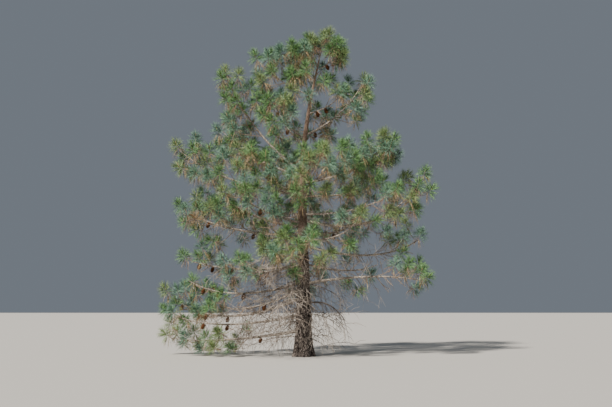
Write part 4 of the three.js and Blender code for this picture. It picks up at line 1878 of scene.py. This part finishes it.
@dataclass(frozen=True)
class StrippedTwigs:
    """The bare twigs on the stretch of a limb that has lost its needles.

    Attributes:
        start: The share of the limb where they begin.
        spacing: The distance between them, on a limb low on the trunk and on a high one.
        low: The height of a low limb, at the most. Lengths are in millimetres.
        mostly_short: The power that makes most of them short.
        ahead: How far they point along the limb.
        parts: The shares of a twig before and after its bend.
        droop: How far the outer part hangs, least and most.
        clear: How far over the floor its tip is, at the least.
    """

    skeleton: Skeleton
    seed: int = 800
    twig_seed: int = 900
    start: float = 0.14
    spacing: tuple[float, float] = (75.0, 420.0)
    low: float = 4600.0
    length: tuple[float, float] = (300.0, 1150.0)
    mostly_short: float = 1.5
    radius: tuple[float, float] = (9.0, 4.5)
    ahead: float = 0.6
    parts: tuple[float, float] = (0.45, 0.55)
    droop: tuple[float, float] = (0.2, 1.6)
    clear: float = 40.0

    def grow(self, lines: Lines, twig: BareTwig, limb: Limb) -> None:
        """Adds the bare twigs of one limb.

        Args:
            lines: The lines that they are added to.
            twig: How a bare twig grows.
            limb: The limb.
        """
        chance = Chance(limb.seed + self.seed)
        spacing = self.spacing[0] if limb.path.corners[0][2] < self.low else self.spacing[1]
        count = int((limb.leafy - self.start) * limb.length / spacing)
        for k in range(count):
            share = mix(self.start, limb.leafy, (k + chance.draw()) / count)
            heading = limb.path.heading(share)
            side = turned(first_axis(heading), heading, TURN * chance.draw())
            length = mix(*self.length, chance.draw() ** self.mostly_short)
            out = unit(heading * self.ahead + side)
            root = limb.path.at(share)
            bend = root + out * length * self.parts[0]
            tip = bend + unit(out - UP * mix(*self.droop, chance.draw())) * length * self.parts[1]
            if tip[2] > twig.floor + self.clear and self.skeleton.clear_of_trunk(tip, 0.0):
                radius = mix(*self.radius, chance.draw())
                twig.grow(lines, Arc(root, bend, tip), radius, self.twig_seed * limb.seed + k)


@dataclass(frozen=True)
class TrunkTwigs:
    """The bare twigs that stand out of the trunk, low down, and hang.

    Attributes:
        mostly_short: The power that makes most of them short.
        inset: How far from the trunk's centre they begin, as a share of its radius.
        rise: How far the inner half rises, least and most.
        out: How far the outer half points out while it hangs, least and most.
        clear: How far over the floor a tip is, at the least, in millimetres.
    """

    skeleton: Skeleton
    seed: int = 77
    twig_seed: int = 3000
    count: int = 38
    heights: tuple[float, float] = (350.0, 3600.0)
    length: tuple[float, float] = (200.0, 1250.0)
    mostly_short: float = 1.4
    inset: float = 0.8
    rise: tuple[float, float] = (-0.3, 0.4)
    out: tuple[float, float] = (0.3, 1.0)
    radius: tuple[float, float] = (4.5, 10.0)
    clear: float = 40.0

    def grow(self, lines: Lines, twig: BareTwig) -> None:
        """Adds the twigs.

        Args:
            lines: The lines that they are added to.
            twig: How a bare twig grows.
        """
        chance = Chance(self.seed)
        trunk = self.skeleton.trunk
        for k in range(self.count):
            height = mix(*self.heights, (k + chance.draw()) / self.count)
            out = level(math.radians(LEAF_TURN * k) + chance.draw())
            length = mix(*self.length, chance.draw() ** self.mostly_short)
            root = trunk.at(height) + out * trunk.radius(height) * self.inset
            bend = root + unit(out + UP * mix(*self.rise, chance.draw())) * length * 0.5
            tip = bend + unit(out * mix(*self.out, chance.draw()) - UP) * length * 0.5
            if tip[2] > twig.floor + self.clear:
                radius = mix(*self.radius, length / self.length[1])
                twig.grow(lines, Arc(root, bend, tip), radius, self.twig_seed + k)


@dataclass(frozen=True)
class ThinLimbs:
    """The thin dead limbs low on the trunk, which arch out and hang to the ground.

    Attributes:
        turn_jitter: How far one strays from its turn round the trunk, in degrees.
        leftward: The share of them that is turned to the left.
        swerve: How far they curve to a side.
        reach: How far out they reach, least and most. Lengths are in millimetres.
        reach_left: How much further out one reaches that points left.
        fall: How far the tip falls, least and most.
        ground: The height that no tip is below.
        bends: How far out the two bends are, as shares of the reach.
        rise: How far the first bend rises, as a share of the reach.
        swerve_left: How much of the swerve is left at the second bend.
        fallen: How much of the fall is done there.
        bare: The share of them that has bare twigs.
    """

    seed: int = 41
    limb_seed: int = 60
    count: int = 36
    heights: tuple[float, float] = (450.0, 2900.0)
    turn_jitter: float = 60.0
    leftward: float = 0.5
    swerve: float = 0.5
    reach: tuple[float, float] = (700.0, 1300.0)
    reach_left: float = 900.0
    fall: tuple[float, float] = (200.0, 1000.0)
    ground: float = 150.0
    bends: tuple[float, float] = (0.4, 0.8)
    rise: float = 0.02
    swerve_left: float = 0.6
    fallen: float = 0.35
    bare: float = 0.95
    radius: tuple[float, float] = (9.0, 16.0)
    end_radius: float = 4.0
    points: int = 16

    def grow(self, lines: Lines, twig: BareTwig, trunk: Trunk, stripped: StrippedTwigs) -> None:
        """Adds the limbs with their bare twigs.

        Args:
            lines: The lines that they are added to.
            twig: How a bare twig grows.
            trunk: The trunk that they grow from.
            stripped: How bare twigs stand on a limb.
        """
        chance = Chance(self.seed)
        shares = np.linspace(0, 1, self.points)
        for k in range(self.count):
            height = mix(*self.heights, (k + chance.draw()) / self.count)
            out = level(math.radians(LEAF_TURN * k + self.turn_jitter * chance.draw()))
            if chance.draw() < self.leftward:
                out[0] = -abs(out[0])
            side = aside(out) * (chance.draw() - 0.5) * self.swerve
            left = 0.5 - 0.5 * out[0]
            reach = mix(*self.reach, chance.draw()) + self.reach_left * left
            fall = min(mix(*self.fall, chance.draw()), height - self.ground)
            root = trunk.at(height)
            near, far = self.bends
            corners = (
                root,
                root + (out + side) * reach * near + UP * self.rise * reach,
                root + (out + side * self.swerve_left) * reach * far - UP * self.fallen * fall,
                root + out * reach - UP * fall,
            )
            path, radius = Path(np.array(corners)), mix(*self.radius, chance.draw())
            seed = self.limb_seed + k
            limb = Limb(f"thin_{k}", 0.0, self.bare, seed, path, radius, self.end_radius)
            lines.add(path.at(shares), limb.radius(shares))
            stripped.grow(lines, twig, limb)


@dataclass
class DeadWood:
    """The dead limbs and the web of bare twigs low on the trunk and the boughs."""

    skeleton: Skeleton
    sides: int = 4

    def build(self, shop: Workshop) -> None:
        """Makes the dead wood as one piece.

        Args:
            shop: The workshop.
        """
        lines, twig, stripped = Lines(), BareTwig(), StrippedTwigs(self.skeleton)
        ThinLimbs().grow(lines, twig, self.skeleton.trunk, stripped)
        for limb in self.skeleton.dead:
            DeadLimbs(self.skeleton).grow(lines, twig, limb)
        for limb in self.skeleton.masses:
            stripped.grow(lines, twig, limb)
        TrunkTwigs(self.skeleton).grow(lines, twig)
        made = shop.round_wood("dead_twigs", lines, WEATHERED, self.sides)
        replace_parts(made, *[limb.name for limb in self.skeleton.dead])


@dataclass(frozen=True)
class Studio:
    """The floor, the light and the camera, in metres and degrees."""

    distance: float = 23.2
    camera_height: float = 1.5
    camera_x: float = 0.08
    pitch: float = 6.5
    lens: float = 50.0
    sensor: float = 36.0
    floor_size: float = 160.0
    floor_colour: str = "#c4c1bb"
    floor_roughness: float = 0.9
    sky_colour: str = "#d3e0f0"
    sky_strength: float = 0.25
    sun_colour: str = "#fff8ee"
    sun_strength: float = 7.0
    sun_turn: tuple[float, float] = (50.0, -38.0)
    sun_softness: float = 4.0

    def floor(self) -> None:
        """Makes a plain pale floor of painted board, even and matt."""
        half = self.floor_size / 2
        corners = [(x * half, y * half, 0.0) for x, y in ((-1, -1), (1, -1), (1, 1), (-1, 1))]
        made = placed("floor", mesh_of("floor", np.array(corners), faces=[(0, 1, 2, 3)]))
        painted = bpy.data.materials.new("painted_floor")
        painted.use_nodes = True
        shader = painted.node_tree.nodes["Principled BSDF"]
        shader.inputs["Base Color"].default_value = linear(self.floor_colour)
        shader.inputs["Roughness"].default_value = self.floor_roughness
        made.data.materials.append(painted)

    def light(self) -> None:
        """Sets one broad soft lamp at the upper left, and an even pale surround."""
        lamp = bpy.data.lights.new("key_light", "SUN")
        lamp.energy = self.sun_strength
        lamp.angle = math.radians(self.sun_softness)
        lamp.color = linear(self.sun_colour)[:3]
        tilt, turn = self.sun_turn
        placed("key_light", lamp).rotation_euler = (math.radians(tilt), 0, math.radians(turn))
        world = bpy.data.worlds.new("surround")
        world.use_nodes = True
        shade = world.node_tree.nodes["Background"]
        shade.inputs["Color"].default_value = linear(self.sky_colour)
        shade.inputs["Strength"].default_value = self.sky_strength
        bpy.context.scene.world = world

    def camera(self) -> None:
        """Sets the camera at the photo's viewing angle: in front, low, and looking up a little."""
        lens = bpy.data.cameras.new("camera")
        lens.lens, lens.sensor_width = self.lens, self.sensor
        made = placed("camera", lens)
        made.location = (self.camera_x, -self.distance, self.camera_height)
        made.rotation_euler = (math.radians(90 + self.pitch), 0, 0)
        bpy.context.scene.camera = made


def main() -> None:
    """Builds the pine and the studio, piece by piece."""
    logging.basicConfig(level=logging.INFO, format="%(message)s")
    studio = Studio()
    studio.camera()
    studio.light()
    studio.floor()
    shop = Workshop()
    trunk = Trunk()
    skeleton = Skeleton(trunk)
    nodes = [f"needles_{limb.name}" for limb in skeleton.masses]
    trunk.build(shop)
    Boughs(skeleton).build(shop)
    shoots = Shoots(skeleton)
    log.info("%d sprays, %d shoots", len(shoots.twigs), len(shoots.made))
    shoots.build(shop, nodes)
    Needles(shoots).build(shop, nodes)
    Cones(skeleton).build(shop, nodes)
    DeadWood(skeleton).build(shop)


if __name__ == "__main__":
    main()
